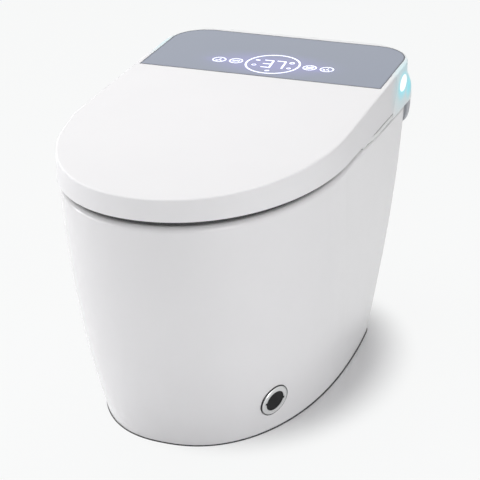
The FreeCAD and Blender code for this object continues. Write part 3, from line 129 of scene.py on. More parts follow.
def soft_lamp(name, place, target, size, power, colour=(1, 1, 1)):
    lamp = bpy.data.lights.new(name, "AREA")
    lamp.shape = "RECTANGLE"
    lamp.size, lamp.size_y = size
    lamp.energy = power
    lamp.color = colour
    holder = bpy.data.objects.new(name, lamp)
    holder.location = place
    holder.rotation_euler = (Vector(target) - Vector(place)).to_track_quat("-Z", "Y").to_euler()
    scene.collection.objects.link(holder)

soft_lamp("top_softbox", place=(-0.38, -0.05, 2.50), target=(0, 0, 0.3), size=(1.3, 1.3),
          power=38, colour=(1, 0.997, 0.99))
soft_lamp("left_softbox", place=(-2.75, -1.15, 0.48), target=(0, 0, 0.18), size=(3.0, 0.75),
          power=55)
soft_lamp("right_softbox", place=(2.5, -1.70, 0.35), target=(0, 0, 0.15), size=(1.8, 0.5),
          power=34)
soft_lamp("front_softbox", place=(1.1, -1.9, 1.9), target=(0, 0, 0.3), size=(1.2, 1.0), power=4)

def studio_sky():
    # Fill that is stronger from the rear: a base level plus the direction's part along a slope
    scene.world = bpy.data.worlds.new("studio")
    scene.world.use_nodes = True
    made, link = scene.world.node_tree.nodes, scene.world.node_tree.links
    where, slope = made.new("ShaderNodeTexCoord"), made.new("ShaderNodeVectorMath")
    slope.operation = "DOT_PRODUCT"
    link.new(where.outputs["Generated"], slope.inputs[0])
    slope.inputs[1].default_value = SKY_SLOPE
    fill = made.new("ShaderNodeMath")
    fill.operation = "ADD"
    link.new(slope.outputs["Value"], fill.inputs[0])
    fill.inputs[1].default_value = SKY_FILL
    level = made.new("ShaderNodeMath")
    level.operation = "MAXIMUM"
    link.new(fill.outputs[0], level.inputs[0])
    link.new(seen_directly(made, link), level.inputs[1])
    made["Background"].inputs["Color"].default_value = STUDIO_WHITE
    link.new(level.outputs[0], made["Background"].inputs["Strength"])

studio_sky()

# Ceramic body: one vitreous china casting, slip-cast hollow, glazed white all over and fired. The
# glaze pools very slightly, so its gloss and tone drift over a hand's width.
def surface_group():
    # Noise in Object coordinates, turned into a drift of tone, of gloss and of height
    tree = bpy.data.node_groups.new("cast_surface", "ShaderNodeTree")
    face = tree.interface
    face.new_socket("Light", in_out="INPUT", socket_type="NodeSocketColor")
    face.new_socket("Dark", in_out="INPUT", socket_type="NodeSocketColor")
    for name in ("Drift Scale", "Grain Scale", "Gloss Low", "Gloss High"):
        face.new_socket(name, in_out="INPUT", socket_type="NodeSocketFloat")
    face.new_socket("Color", in_out="OUTPUT", socket_type="NodeSocketColor")
    face.new_socket("Roughness", in_out="OUTPUT", socket_type="NodeSocketFloat")
    face.new_socket("Height", in_out="OUTPUT", socket_type="NodeSocketFloat")
    made, link = tree.nodes, tree.links
    into, out = made.new("NodeGroupInput"), made.new("NodeGroupOutput")
    where = made.new("ShaderNodeTexCoord")
    drift, grain = made.new("ShaderNodeTexNoise"), made.new("ShaderNodeTexNoise")
    drift.inputs["Detail"].default_value = 2
    grain.inputs["Detail"].default_value = 3
    for noise, socket in ((drift, "Drift Scale"), (grain, "Grain Scale")):
        link.new(where.outputs["Object"], noise.inputs["Vector"])
        link.new(into.outputs[socket], noise.inputs["Scale"])
    tone = made.new("ShaderNodeMix")
    tone.data_type = "RGBA"
    link.new(drift.outputs["Fac"], tone.inputs["Factor"])
    link.new(into.outputs["Light"], tone.inputs["A"])
    link.new(into.outputs["Dark"], tone.inputs["B"])
    gloss = made.new("ShaderNodeMapRange")
    link.new(drift.outputs["Fac"], gloss.inputs["Value"])
    gloss.inputs["From Min"].default_value = 0.3
    gloss.inputs["From Max"].default_value = 0.7
    link.new(into.outputs["Gloss Low"], gloss.inputs["To Min"])
    link.new(into.outputs["Gloss High"], gloss.inputs["To Max"])
    link.new(tone.outputs["Result"], out.inputs["Color"])
    link.new(gloss.outputs["Result"], out.inputs["Roughness"])
    link.new(grain.outputs["Fac"], out.inputs["Height"])
    return tree

cast_surface = surface_group()

def cast_finish(name, light, dark, gloss, scales, bump, **sockets):
    # A solid colour with the shared surface: gloss is its lowest and highest roughness, scales are
    # those of drift and grain, bump is strength and depth; other sockets are set on the shader itself
    material, made, link = new_material(name)
    out = made.new("ShaderNodeOutputMaterial")
    shader, surface = made.new("ShaderNodeBsdfPrincipled"), made.new("ShaderNodeGroup")
    shader.name, surface.name = "finish", "surface"
    surface.node_tree = cast_surface
    surface.inputs["Light"].default_value = (*light, 1)
    surface.inputs["Dark"].default_value = (*dark, 1)
    surface.inputs["Drift Scale"].default_value, surface.inputs["Grain Scale"].default_value = scales
    surface.inputs["Gloss Low"].default_value, surface.inputs["Gloss High"].default_value = gloss
    relief = made.new("ShaderNodeBump")
    relief.inputs["Strength"].default_value, relief.inputs["Distance"].default_value = bump
    link.new(surface.outputs["Color"], shader.inputs["Base Color"])
    link.new(surface.outputs["Roughness"], shader.inputs["Roughness"])
    link.new(surface.outputs["Height"], relief.inputs["Height"])
    link.new(relief.outputs["Normal"], shader.inputs["Normal"])
    for socket, value in sockets.items():
        shader.inputs[socket.replace("_", " ")].default_value = value
    link.new(shader.outputs[0], out.inputs["Surface"])
    return material

def dress(material, *names):
    for name in names:
        slots = nodes[name].data.materials
        slots.clear()
        slots.append(material)

glaze = cast_finish("white_glaze", light=(0.80, 0.792, 0.806), dark=(0.775, 0.767, 0.781),
                    gloss=(0.16, 0.24), scales=(9, 60), bump=(0.06, 0.0006), Specular_IOR_Level=0.3)
dress(glaze, "ceramic_body")

# Floor bead: a sealant bead in the groove between the foot's rounded edge and the floor, laid
# in one run all round after the toilet has been set down. Its near-black colour is painted
# shadow: it stands for the contact shadow along the foot.
FOOT_HALF_W, FOOT_FRONT_Y, FOOT_EGG_Y, FOOT_POWER = 0.1742, -0.2496, 0.0834, 2.30
FOOT_WIDEST, FOOT_SIDE_BEND = (FOOT_HALF_W, FOOT_EGG_Y), (FOOT_HALF_W, 0.1407)
FOOT_SIDE_END, FOOT_CORNER, FOOT_REAR = (0.1691, 0.1980), (0.1654, 0.2400), (0.1234, 0.2400)
BEAD_PROFILE = [(-0.0026, 0.0), (0.0014, 0.0), (0.0011, 0.0012), (0.0002, 0.0024), (-0.0026, 0.0024)]

def solid_from_sections(name, sections, closed, material, body):
    # Sections of equal count carried along a path, joined by quads into one closed skin
    count, around = sections.shape[:2]
    steps = np.arange(count if closed else count - 1)
    here, there = steps[:, None] * around, ((steps + 1) % count)[:, None] * around
    side, beside = np.arange(around)[None, :], ((np.arange(around) + 1) % around)[None, :]
    quads = np.stack([here + side, here + beside, there + beside, there + side], -1).reshape(-1, 4)
    mesh = bpy.data.meshes.new(name)
    mesh.from_pydata(sections.reshape(-1, 3).tolist(), [], quads.tolist())
    shape = bmesh.new()
    shape.from_mesh(mesh)
    bmesh.ops.remove_doubles(shape, verts=shape.verts, dist=1e-7)
    bmesh.ops.dissolve_degenerate(shape, edges=shape.edges, dist=1e-7)
    bmesh.ops.recalc_face_normals(shape, faces=shape.faces)
    shape.to_mesh(mesh)
    shape.free()
    mesh.materials.append(material)
    piece = bpy.data.objects.new(name, mesh)
    scene.collection.objects.link(piece)
    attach(piece, body)

def directions(path, closed):
    # Unit steps along a path, from each point's neighbours on both sides
    around = np.concatenate([path[-1:], path, path[:1]]) if closed else path
    along = np.gradient(around, axis=0)
    along = along[1:-1] if closed else along
    return along / np.linalg.norm(along, axis=1, keepdims=True)

def swept_sections(path, profile, closed):
    # A profile of outward and upward steps, carried along a level path that runs anticlockwise; an
    # open one closes to a point at the middle of each end
    path, profile = np.asarray(path, float), np.asarray(profile, float)
    along = directions(path, closed)
    outward = np.stack([along[:, 1], -along[:, 0]], -1)
    flat = path[:, None] + outward[:, None] * profile[None, :, :1]
    level = np.broadcast_to(profile[None, :, 1:], (len(path), len(profile), 1))
    sections = np.concatenate([flat, level], -1)
    if closed:
        return sections
    ends = sections[[0, -1]].mean(1, keepdims=True).repeat(len(profile), 1)
    return np.concatenate([ends[:1], sections, ends[1:]])

def egg_quarter(half_w, front_y, egg_y, power, count=60):
    # Superellipse |x/a|^p + |y/b|^p = 1 about the egg's widest line, from the front middle to the right
    turn = np.linspace(np.pi / 2, 0, count)
    across, ahead = np.cos(turn).clip(0) ** (2 / power), np.sin(turn).clip(0) ** (2 / power)
    return np.column_stack([half_w * across, egg_y - (egg_y - front_y) * ahead])

def bend(start, middle, end, count=12):
    # Quadratic curve from start to end that leaves and arrives along the lines to the middle point
    t = np.linspace(0, 1, count)[1:, None]
    return (1 - t) ** 2 * np.array(start) + 2 * t * (1 - t) * np.array(middle) + t ** 2 * np.array(end)

def both_sides(right_half):
    # The left half is the right half mirrored; it runs first, so that the path is anticlockwise
    return np.concatenate([right_half[:0:-1] * (-1, 1), right_half])

# Painted shadow: the bead's near-black colour stands for the contact shadow along the foot
contact_shadow_bead = cast_finish("contact_shadow_bead", light=(0.022, 0.022, 0.024), dark=(0.015, 0.015, 0.017),
                        gloss=(0.55, 0.7), scales=(60, 900), bump=(0.15, 0.0002))
foot_right = np.concatenate([egg_quarter(FOOT_HALF_W, FOOT_FRONT_Y, FOOT_EGG_Y, FOOT_POWER),
                             bend(FOOT_WIDEST, FOOT_SIDE_BEND, FOOT_SIDE_END),
                             bend(FOOT_SIDE_END, FOOT_CORNER, FOOT_REAR)])
bead = swept_sections(both_sides(foot_right), BEAD_PROFILE, True)
solid_from_sections("floor_bead", bead, True, contact_shadow_bead, "toilet")

# Lid and seat: injection-moulded white plastic with a satin skin. The seat ring is hollow and heated,
# and both turn on arms that reach back beside the glass. At the rear the lid carries a painted cyan
# glow and tint, painted light standing for the side lights' shine on its cheeks.
WIDE_HALO = ((0.2527, 0.251, 0.415), (1.0, 0.8, 1.0), 0.090)
GLOW_LIGHT, GLOW_TINT = (0.0, 0.20, 0.24), (0.25, 0.66, 0.74)

def glow_group():
    # How near a lamp lies: X is folded over the middle plane, the way from the centre is stretched,
    # and its length falls smoothly from one at the centre to none at the reach
    tree = bpy.data.node_groups.new("lamp_glow", "ShaderNodeTree")
    face = tree.interface
    face.new_socket("Centre", in_out="INPUT", socket_type="NodeSocketVector")
    face.new_socket("Stretch", in_out="INPUT", socket_type="NodeSocketVector")
    face.new_socket("Reach", in_out="INPUT", socket_type="NodeSocketFloat")
    face.new_socket("Mask", in_out="OUTPUT", socket_type="NodeSocketFloat")
    made, link = tree.nodes, tree.links
    into, out = made.new("NodeGroupInput"), made.new("NodeGroupOutput")
    where = made.new("ShaderNodeTexCoord")
    parts, fold = made.new("ShaderNodeSeparateXYZ"), made.new("ShaderNodeCombineXYZ")
    aside = made.new("ShaderNodeMath")
    aside.operation = "ABSOLUTE"
    link.new(where.outputs["Object"], parts.inputs[0])
    link.new(parts.outputs["X"], aside.inputs[0])
    link.new(aside.outputs[0], fold.inputs["X"])
    link.new(parts.outputs["Y"], fold.inputs["Y"])
    link.new(parts.outputs["Z"], fold.inputs["Z"])
    away = made.new("ShaderNodeVectorMath")
    away.operation = "SUBTRACT"
    link.new(fold.outputs[0], away.inputs[0])
    link.new(into.outputs["Centre"], away.inputs[1])
    scaled = made.new("ShaderNodeVectorMath")
    scaled.operation = "MULTIPLY"
    link.new(away.outputs[0], scaled.inputs[0])
    link.new(into.outputs["Stretch"], scaled.inputs[1])
    length = made.new("ShaderNodeVectorMath")
    length.operation = "LENGTH"
    link.new(scaled.outputs[0], length.inputs[0])
    fall = made.new("ShaderNodeMapRange")
    fall.interpolation_type = "SMOOTHERSTEP"
    link.new(length.outputs["Value"], fall.inputs["Value"])
    link.new(into.outputs["Reach"], fall.inputs["From Max"])
    fall.inputs["To Min"].default_value = 1.0
    fall.inputs["To Max"].default_value = 0.0
    link.new(fall.outputs["Result"], out.inputs["Mask"])
    return tree

lamp_glow = glow_group()

def glow_mask(made, centre, stretch, reach):
    near = made.new("ShaderNodeGroup")
    near.node_tree = lamp_glow
    near.inputs["Centre"].default_value = centre
    near.inputs["Stretch"].default_value = stretch
    near.inputs["Reach"].default_value = reach
    return near.outputs["Mask"]

def add_glow(material, lamps, colour, glow_tint):
    # Light of one colour painted in as emission where the strongest mask is high, and a tint towards
    #     # the glow there: painted light on a surface, or a lamp window's own light
    made, link = material.node_tree.nodes, material.node_tree.links
    mask = glow_mask(made, *lamps[0])
    for further in lamps[1:]:
        strongest = made.new("ShaderNodeMath")
        strongest.operation = "MAXIMUM"
        link.new(mask, strongest.inputs[0])
        link.new(glow_mask(made, *further), strongest.inputs[1])
        mask = strongest.outputs[0]
    light, tint = made.new("ShaderNodeMix"), made.new("ShaderNodeMix")
    light.data_type = tint.data_type = "RGBA"
    light.inputs["A"].default_value = (0, 0, 0, 1)
    light.inputs["B"].default_value = (*colour, 1)
    link.new(made["surface"].outputs["Color"], tint.inputs["A"])
    tint.inputs["B"].default_value = (*glow_tint, 1)
    link.new(mask, light.inputs["Factor"])
    link.new(mask, tint.inputs["Factor"])
    shader = made["finish"]
    link.new(light.outputs["Result"], shader.inputs["Emission Color"])
    link.new(tint.outputs["Result"], shader.inputs["Base Color"])
    shader.inputs["Emission Strength"].default_value = 1.0

lid_white = cast_finish("lid_white", light=(0.83, 0.823, 0.836), dark=(0.81, 0.803, 0.817),
                        gloss=(0.54, 0.62), scales=(10, 900), bump=(0.02, 0.0001),
                        Specular_IOR_Level=0.04)
# Painted light: a cyan glow and tint on the lid's rear, near the side lights
add_glow(lid_white, [WIDE_HALO], GLOW_LIGHT, GLOW_TINT)
seat_white = cast_finish("seat_white", light=(0.77, 0.772, 0.775), dark=(0.75, 0.752, 0.756),
                         gloss=(0.40, 0.48), scales=(14, 700), bump=(0.05, 0.0002),
                         Specular_IOR_Level=0.1)
pale_rubber = cast_finish("pale_rubber", light=(0.62, 0.63, 0.63), dark=(0.56, 0.57, 0.57),
                          gloss=(0.55, 0.7), scales=(60, 900), bump=(0.2, 0.0003))
dress(lid_white, "lid")
dress(seat_white, "seat_ring", "seat_hinge_arms")
dress(pale_rubber, "seat_bumpers", "lid_bumpers")

# Seat gap shadow: a black strip hung under the seat's outer edge, which fills the gap to the rim
# from the front round to the base plate's side rails. It is painted shadow, a dark sheet put where
# the gap is only in shade.
GAP_SHADE_HALF_W, GAP_SHADE_FRONT_Y, GAP_SHADE_EGG_Y, GAP_SHADE_POWER = 0.1955, -0.3375, -0.0405, 2.11
GAP_SHADE_END_Y = 0.0400
GAP_SHADE_PROFILE = [(-0.0022, 0.3734), (-0.0004, 0.3734), (0.0, 0.3741), (0.0, 0.3814),
                (-0.0022, 0.3814)]
# Near-black rubber for the real gaskets and seals, also used for dark strips that paint gap shadows
seal_and_shadow_black = cast_finish("seal_and_shadow_black", light=(0.035, 0.035, 0.037), dark=(0.025, 0.025, 0.027),
                         gloss=(0.6, 0.75), scales=(90, 1200), bump=(0.2, 0.0002))
side_y = np.linspace(GAP_SHADE_EGG_Y, GAP_SHADE_END_Y, 12)[1:]
gap_shade_right = np.concatenate([egg_quarter(GAP_SHADE_HALF_W, GAP_SHADE_FRONT_Y, GAP_SHADE_EGG_Y, GAP_SHADE_POWER, 90),
                             np.column_stack([np.full_like(side_y, GAP_SHADE_HALF_W), side_y])])
gap_shade_strip = swept_sections(both_sides(gap_shade_right), GAP_SHADE_PROFILE, False)
solid_from_sections("seat_gap_shadow", gap_shade_strip, False, seal_and_shadow_black, "seat")

# Rear housing: white moulded shell behind the lid, on a white base plate. Round each oval window it
# carries a painted cyan glow and tint: painted light standing for the side lamps' shine.
REAR_GLOW_SPOT = ((0.20, 0.286, 0.400), (0.0, 1.0, 0.9), 0.034)
WINDOW_GLOW_SPOT = ((0.20, 0.249, 0.410), (0.0, 0.8, 1.15), 0.045)
housing_white = cast_finish("housing_white", light=(0.80, 0.805, 0.815), dark=(0.78, 0.785, 0.80),
                            gloss=(0.28, 0.36), scales=(14, 900), bump=(0.05, 0.0002))
# Painted light: cyan glow and tint round the side windows and the rear
add_glow(housing_white, [REAR_GLOW_SPOT, WINDOW_GLOW_SPOT, WIDE_HALO], GLOW_LIGHT, GLOW_TINT)
base_white = cast_finish("base_white", light=(0.78, 0.785, 0.79), dark=(0.76, 0.765, 0.77),
                         gloss=(0.35, 0.45), scales=(14, 700), bump=(0.06, 0.0002))
dress(housing_white, "rear_housing")
dress(base_white, "seat_unit_base")

# Rail strips: thin black strips along the base plate's side rails, one on the rail under the lid's
# edge and one below it against the ceramic, set back a little from the rail's face. They are painted
# shadow: dark material for the shadow lines in the gaps there.
RAIL_FRONT, RAIL_STEP, RAIL_WIDE = (0.1980, 0.0446), (0.20015, 0.0746), (0.2023, 0.1046)
RAIL_LEAVE, RAIL_ARRIVE, RAIL_END_Y = (0.1980, 0.0596), (0.2023, 0.0896), 0.1935
STRIP_BACK, STRIP_FACE = -0.0030, -0.0006
rail_y = np.linspace(RAIL_WIDE[1], RAIL_END_Y, 9)[1:]
rail_right = np.concatenate([[RAIL_FRONT], bend(RAIL_FRONT, RAIL_LEAVE, RAIL_STEP),
                             bend(RAIL_STEP, RAIL_ARRIVE, RAIL_WIDE),
                             np.column_stack([np.full_like(rail_y, RAIL_WIDE[0]), rail_y])])
for name, low, high in (("rail_shadow_top", 0.3779, 0.3796), ("rail_shadow_low", 0.3702, 0.3716)):
    strip = [(STRIP_BACK, low), (STRIP_FACE, low), (STRIP_FACE, high), (STRIP_BACK, high)]
    for side, path in (("right", rail_right), ("left", rail_right[::-1] * (-1, 1))):
        solid_from_sections("%s_%s" % (name, side), swept_sections(path, strip, False), False,
                            seal_and_shadow_black, "toilet")

# Side lights: oval opal windows pressed into the housing over cyan lamps, brightest in the middle and
# tinted at the rim.
WINDOW_LAMP = ((0.2027, 0.251, 0.412), (0.0, 1.0, 1.5), 0.034)
opal = cast_finish("lit_opal", light=(0.85, 0.95, 0.97), dark=(0.80, 0.93, 0.96),
                   gloss=(0.2, 0.3), scales=(30, 300), bump=(0.02, 0.0001))
add_glow(opal, [WINDOW_LAMP], (0.80, 0.98, 1.0), (0.9, 0.97, 0.98))
dress(opal, "side_light_right", "side_light_left")

# Control panel: a grey-backed glass plate with a rounded rear, a dark bead round its edge, and a lit
# display that shines through it: a ring, two digits, and small round symbols. The bead's dark
# colour also paints the shadow line of the gap at the glass's edge. A faint glow and tint on the
# glass round the ring and the symbols are painted light from the display.
PLATE_LEVEL, PLATE_SLOPE, LID_FRONT_Y = 0.411, 0.047, -0.345
RING_X, RING_Y, RING_R = 0.0053, 0.1990, 0.0424
RING_GLOW = ((RING_X, RING_Y, 0), (0.5, 1.0, 0.0), 0.070)
SYMBOL_GLOW = ((0.074, 0.198, 0), (0.6, 1.0, 0.0), 0.030)

def plate_height(y):
    # The glass carries on the lid's slope, which rises evenly from the lid's front edge
    return PLATE_LEVEL + PLATE_SLOPE * (y - LID_FRONT_Y)

def stroke_sections(path, half, low, high, closed):
    # A flat stroke on the glass: the path's points widened both ways, with round ends if it is open
    path = np.asarray(path, float)
    width = np.full(len(path), half)
    if not closed:
        lead = np.linspace(0, np.pi / 2, 6)[1:]
        first, last = path[1] - path[0], path[-1] - path[-2]
        first, last = first / np.linalg.norm(first), last / np.linalg.norm(last)
        start = path[0] - first * half * np.sin(lead[::-1])[:, None]
        end = path[-1] + last * half * np.sin(lead)[:, None]
        path = np.concatenate([start, path, end])
        width = np.concatenate([half * np.cos(lead[::-1]), width, half * np.cos(lead)])
    along = directions(path, closed)
    across = np.stack([-along[:, 1], along[:, 0]], -1) * width[:, None]
    left, right = path + across, path - across
    corners = ((left, low), (left, high), (right, high), (right, low))
    return np.stack([np.column_stack([flat, plate_height(flat[:, 1]) + lift])
                     for flat, lift in corners], 1)

def circle_path(x, y, radius, count=48):
    # Points at even angles round a middle
    turn = np.linspace(0, 2 * np.pi, count, endpoint=False)
    return np.column_stack([x + radius * np.cos(turn), y + radius * np.sin(turn)])

panel_glass = cast_finish("grey_glass", light=(0.198, 0.231, 0.312), dark=(0.187, 0.219, 0.297),
                          gloss=(0.10, 0.14), scales=(6, 40), bump=(0.01, 0.0002),
                          Coat_Weight=0.3, Coat_Roughness=0.05)
# Painted light: a faint glow and tint on the glass round the ring and the symbols
add_glow(panel_glass, [RING_GLOW, SYMBOL_GLOW], (0.035, 0.024, 0.15), (0.20, 0.220, 0.33))
dress(panel_glass, "glass_panel")

EDGE_X, EDGE_FRONT, EDGE_REAR, EDGE_R = 0.1943, 0.1426, 0.3320, 0.0550
EDGE_HALF, EDGE_LOW, EDGE_HIGH = 0.0008, -0.0004, 0.00012
# Painted shadow: the bead's near-black colour also stands for the shadow in the gap at the glass's edge
edge_shadow_black = cast_finish("edge_shadow_black", light=(0.10, 0.105, 0.12), dark=(0.08, 0.085, 0.10),
                         gloss=(0.4, 0.5), scales=(80, 900), bump=(0.05, 0.0002))
corner = np.linspace(0, np.pi / 2, 14)
edge_right = np.column_stack([EDGE_X - EDGE_R + EDGE_R * np.cos(corner),
                              EDGE_REAR - EDGE_R + EDGE_R * np.sin(corner)])
edge_left = edge_right[::-1] * (-1, 1)
edge_path = np.concatenate([[(-EDGE_X, EDGE_FRONT), (EDGE_X, EDGE_FRONT)], edge_right, edge_left])
edge = stroke_sections(edge_path, EDGE_HALF, EDGE_LOW, EDGE_HIGH, True)
solid_from_sections("panel_edge", edge, True, edge_shadow_black, "toilet")

LIT_LOW, LIT_HIGH = 0.00002, 0.00016
BOLD, FINE, DOT = 0.0015, 0.0009, 0.0023
lit = cast_finish("lit_symbols", light=(0.84, 0.86, 1.0), dark=(0.74, 0.77, 1.0),
                  gloss=(0.3, 0.4), scales=(55, 300), bump=(0.02, 0.0001), Emission_Strength=0.72)
lit_tree = lit.node_tree
lit_tree.links.new(lit_tree.nodes["surface"].outputs["Color"],
                   lit_tree.nodes["finish"].inputs["Emission Color"])

def lit_stroke(name, path, half, closed=False):
    stroke = stroke_sections(path, half, LIT_LOW, LIT_HIGH, closed)
    solid_from_sections(name, stroke, closed, lit, "toilet")

lit_stroke("display_ring", circle_path(RING_X, RING_Y, RING_R, 96), BOLD, True)

def digit_strokes(name, x, y, bars):
    # Seven-segment digit, leaning a little left: bars named by their ends on a two by three lattice
    wide, half_tall, lean = 0.0130, 0.0156, -0.0014
    lattice = {"a": (0, 2), "b": (1, 2), "c": (0, 1), "d": (1, 1), "e": (0, 0), "f": (1, 0)}
    for number, bar in enumerate(bars):
        column, row = np.array([lattice[end] for end in bar], float).T
        path = np.column_stack([x + column * wide + row * lean, y + row * half_tall])
        lit_stroke("%s_bar_%d" % (name, number), path, BOLD)

digit_strokes("display_three", -0.0084, 0.1830, ("ab", "bd", "cd", "df", "ef"))
digit_strokes("display_seven", 0.0115, 0.1840, ("ab", "bd", "df"))

SYMBOL_R, SYMBOL_HALF = 0.0101, 0.0011

def symbol(name, x, y, strokes):
    # A small ring with a few strokes inside it, given in units of the ring's radius
    lit_stroke(name + "_ring", circle_path(x, y, SYMBOL_R, 40), SYMBOL_HALF, True)
    for number, path in enumerate(strokes):
        lit_stroke("%s_mark_%d" % (name, number), np.asarray(path) * SYMBOL_R + (x, y), FINE)

wave_x = np.linspace(-0.55, 0.55, 17)
wave = np.column_stack([wave_x, 0.14 * np.sin(wave_x * 5.7)])
sitter = [[(0.12, 0.50), (0.16, 0.46)], [(0.10, 0.22), (-0.06, -0.22), (0.38, -0.26), (0.42, -0.58)]]
spray = [[(-0.46, -0.50), (-0.30, -0.20)], [(-0.24, -0.56), (-0.16, -0.42)]]
warm_air = [[(-0.55, -0.10), (-0.30, -0.18)], [(-0.50, -0.42), (-0.22, -0.48)]]
symbol("symbol_wash", -0.0826, 0.1959, sitter + spray)
symbol("symbol_flush", -0.0551, 0.1975, [wave + (0, 0.22), wave + (0, -0.22)])
symbol("symbol_warm", 0.0655, 0.2000, [wave + (0, 0.36), wave, wave + (0, -0.36)])
symbol("symbol_dry", 0.0933, 0.2004, sitter + warm_air)

lit_stroke("mark_seat", [(-0.0245, 0.2110), (-0.0213, 0.2110)], DOT)
lit_stroke("mark_water", circle_path(-0.0222, 0.1886, 0.0030, 24), FINE, True)
lit_stroke("mark_night", circle_path(0.0329, 0.2122, 0.0034, 24), SYMBOL_HALF, True)
lit_stroke("mark_air", circle_path(0.0351, 0.1874, 0.0026, 20), FINE, True)
lit_stroke("mark_power", [(0.0048, 0.1682), (0.0074, 0.1692)], 0.0024)

# Rear cover: a grey moulded tray under the housing that hides the pipes, with a brass water stub and
# a cable gland in its floor.
cover_grey = cast_finish("cover_grey", light=(0.40, 0.415, 0.445), dark=(0.37, 0.385, 0.415),
                         gloss=(0.4, 0.5), scales=(14, 700), bump=(0.08, 0.0002))
dress(cover_grey, "rear_cover", "power_gland")
brass = cast_finish("turned_brass", light=(0.72, 0.56, 0.27), dark=(0.62, 0.47, 0.22),
                    gloss=(0.22, 0.34), scales=(40, 500), bump=(0.05, 0.0001), Metallic=1.0)
dress(brass, "water_inlet")

# Foot sensor: a turned steel ring with fine concentric marks, seated on a dark gasket with a lip round
# its edge, and a black lens that is held by two small tabs.
STEEL_DARK, STEEL_LIGHT = (0.58, 0.585, 0.59, 1), (0.76, 0.76, 0.76, 1)
TURNING_SCALE, TURNING_GLOSS, TURNING_BUMP = 2600, (0.22, 0.42), (0.15, 0.0001)

def turned_steel():
    # Rings round the sensor's axis: the distance from its middle drives a fine wave of gloss and height
    material, made, link = new_material("turned_steel")
    out = made.new("ShaderNodeOutputMaterial")
    shader = made.new("ShaderNodeBsdfPrincipled")
    shader.inputs["Metallic"].default_value = 1.0
    where = made.new("ShaderNodeTexCoord")
    low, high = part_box("foot_sensor_ring")
    away = made.new("ShaderNodeVectorMath")
    away.operation = "DISTANCE"
    link.new(where.outputs["Object"], away.inputs[0])
    away.inputs[1].default_value = (Vector(low) + Vector(high)) / 2
    ring = made.new("ShaderNodeTexNoise")
    ring.noise_dimensions = "1D"
    ring.inputs["Scale"].default_value = TURNING_SCALE
    ring.inputs["Detail"].default_value = 2
    link.new(away.outputs["Value"], ring.inputs["W"])
    tone = made.new("ShaderNodeMix")
    tone.data_type = "RGBA"
    tone.inputs["A"].default_value = STEEL_DARK
    tone.inputs["B"].default_value = STEEL_LIGHT
    link.new(ring.outputs["Fac"], tone.inputs["Factor"])
    link.new(tone.outputs["Result"], shader.inputs["Base Color"])
    gloss = made.new("ShaderNodeMapRange")
    link.new(ring.outputs["Fac"], gloss.inputs["Value"])
    gloss.inputs["To Min"].default_value, gloss.inputs["To Max"].default_value = TURNING_GLOSS
    link.new(gloss.outputs["Result"], shader.inputs["Roughness"])
    relief = made.new("ShaderNodeBump")
    relief.inputs["Strength"].default_value, relief.inputs["Distance"].default_value = TURNING_BUMP
    link.new(ring.outputs["Fac"], relief.inputs["Height"])
    link.new(relief.outputs["Normal"], shader.inputs["Normal"])
    link.new(shader.outputs[0], out.inputs["Surface"])
    return material

dress(turned_steel(), "foot_sensor_ring")
lens_black = cast_finish("lens_black", light=(0.014, 0.014, 0.015), dark=(0.010, 0.010, 0.011),
                         gloss=(0.30, 0.40), scales=(60, 600), bump=(0.03, 0.0001),
                         Specular_IOR_Level=0.08)
dress(lens_black, "foot_sensor_lens")

SENSOR_MIDDLE = np.array([0.13844, -0.17456, 0.0570])
SENSOR_OUT = np.array([0.87301, -0.43557, -0.21939])
LIP_COUNT, LIP_FOOT, LIP_DROP = 72, -0.0004, 0.0010
LIP_REACH = np.array([0.0244, 0.0252, 0.0252, 0.0250, 0.0244])
LIP_TOP = (0.0012, 0.0018, 0.0018)

def sensor_lip():
    # A sleeve round the sensor's axis: its outer foot follows the skirt, which falls away to both sides
    across = np.cross((0, 0, 1), SENSOR_OUT)
    across /= np.linalg.norm(across)
    turn = np.linspace(0, 2 * np.pi, LIP_COUNT, endpoint=False)[:, None]
    radial = np.cos(turn) * across + np.sin(turn) * np.cross(SENSOR_OUT, across)
    foot = LIP_FOOT - LIP_DROP * np.cos(turn) ** 2
    rise = np.concatenate([foot, foot, np.full((LIP_COUNT, len(LIP_TOP)), LIP_TOP)], 1)
    return SENSOR_MIDDLE + radial[:, None] * LIP_REACH[None, :, None] + SENSOR_OUT * rise[:, :, None]

solid_from_sections("foot_sensor_lip", sensor_lip(), True, seal_and_shadow_black, "toilet")
dress(seal_and_shadow_black, "foot_sensor_gasket", "outlet_seal")

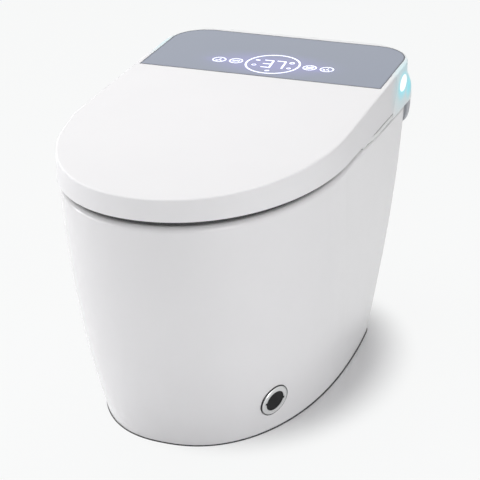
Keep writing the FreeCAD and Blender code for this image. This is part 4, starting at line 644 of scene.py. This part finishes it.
# Inside the housing: steel wands and shafts, natural nylon gears and tips, dark motors, and the dark
# grey cases of the dryer, fan and hinge units, clipped and bolted to the base plate.
steel = cast_finish("drawn_steel", light=(0.62, 0.62, 0.63), dark=(0.55, 0.55, 0.565),
                    gloss=(0.25, 0.38), scales=(120, 1500), bump=(0.08, 0.0001), Metallic=1.0)
nylon = cast_finish("natural_nylon", light=(0.74, 0.735, 0.69), dark=(0.69, 0.685, 0.64),
                    gloss=(0.45, 0.55), scales=(40, 900), bump=(0.1, 0.0002))
case_grey = cast_finish("case_grey", light=(0.16, 0.165, 0.175), dark=(0.13, 0.135, 0.145),
                        gloss=(0.5, 0.6), scales=(30, 900), bump=(0.12, 0.0002))
box_grey = cast_finish("box_grey", light=(0.52, 0.53, 0.54), dark=(0.48, 0.49, 0.50),
                       gloss=(0.45, 0.55), scales=(30, 900), bump=(0.12, 0.0002))
motor_grey = cast_finish("motor_grey", light=(0.25, 0.26, 0.28), dark=(0.20, 0.21, 0.23),
                         gloss=(0.35, 0.5), scales=(60, 900), bump=(0.1, 0.0002), Metallic=0.8)
board_green = cast_finish("board_green", light=(0.035, 0.16, 0.09), dark=(0.025, 0.12, 0.07),
                          gloss=(0.35, 0.5), scales=(90, 900), bump=(0.1, 0.0002))
carbon = cast_finish("carbon_felt", light=(0.03, 0.03, 0.032), dark=(0.015, 0.015, 0.017),
                     gloss=(0.85, 0.95), scales=(300, 1600), bump=(0.6, 0.0006))
dress(steel, "hinge_shafts", "mounting_bolts", "wash_wand_rear", "wash_wand_front")
dress(nylon, "nozzle_tip_rear", "nozzle_tip_front", "wand_pinion_rear", "wand_pinion_front",
      "blower_impeller", "deodoriser_fan")
dress(case_grey, "hinge_saddles", "blower_case", "fan_frame", "wand_guide", "foot_sensor_body",
      "seat_soft_close", "lid_soft_close")
dress(box_grey, "control_box", "water_heater", "inlet_valve", "dryer_flap")
dress(motor_grey, "blower_motor", "wand_motor_rear", "wand_motor_front", "flush_pump")
dress(board_green, "display_board")
dress(carbon, "carbon_filter")
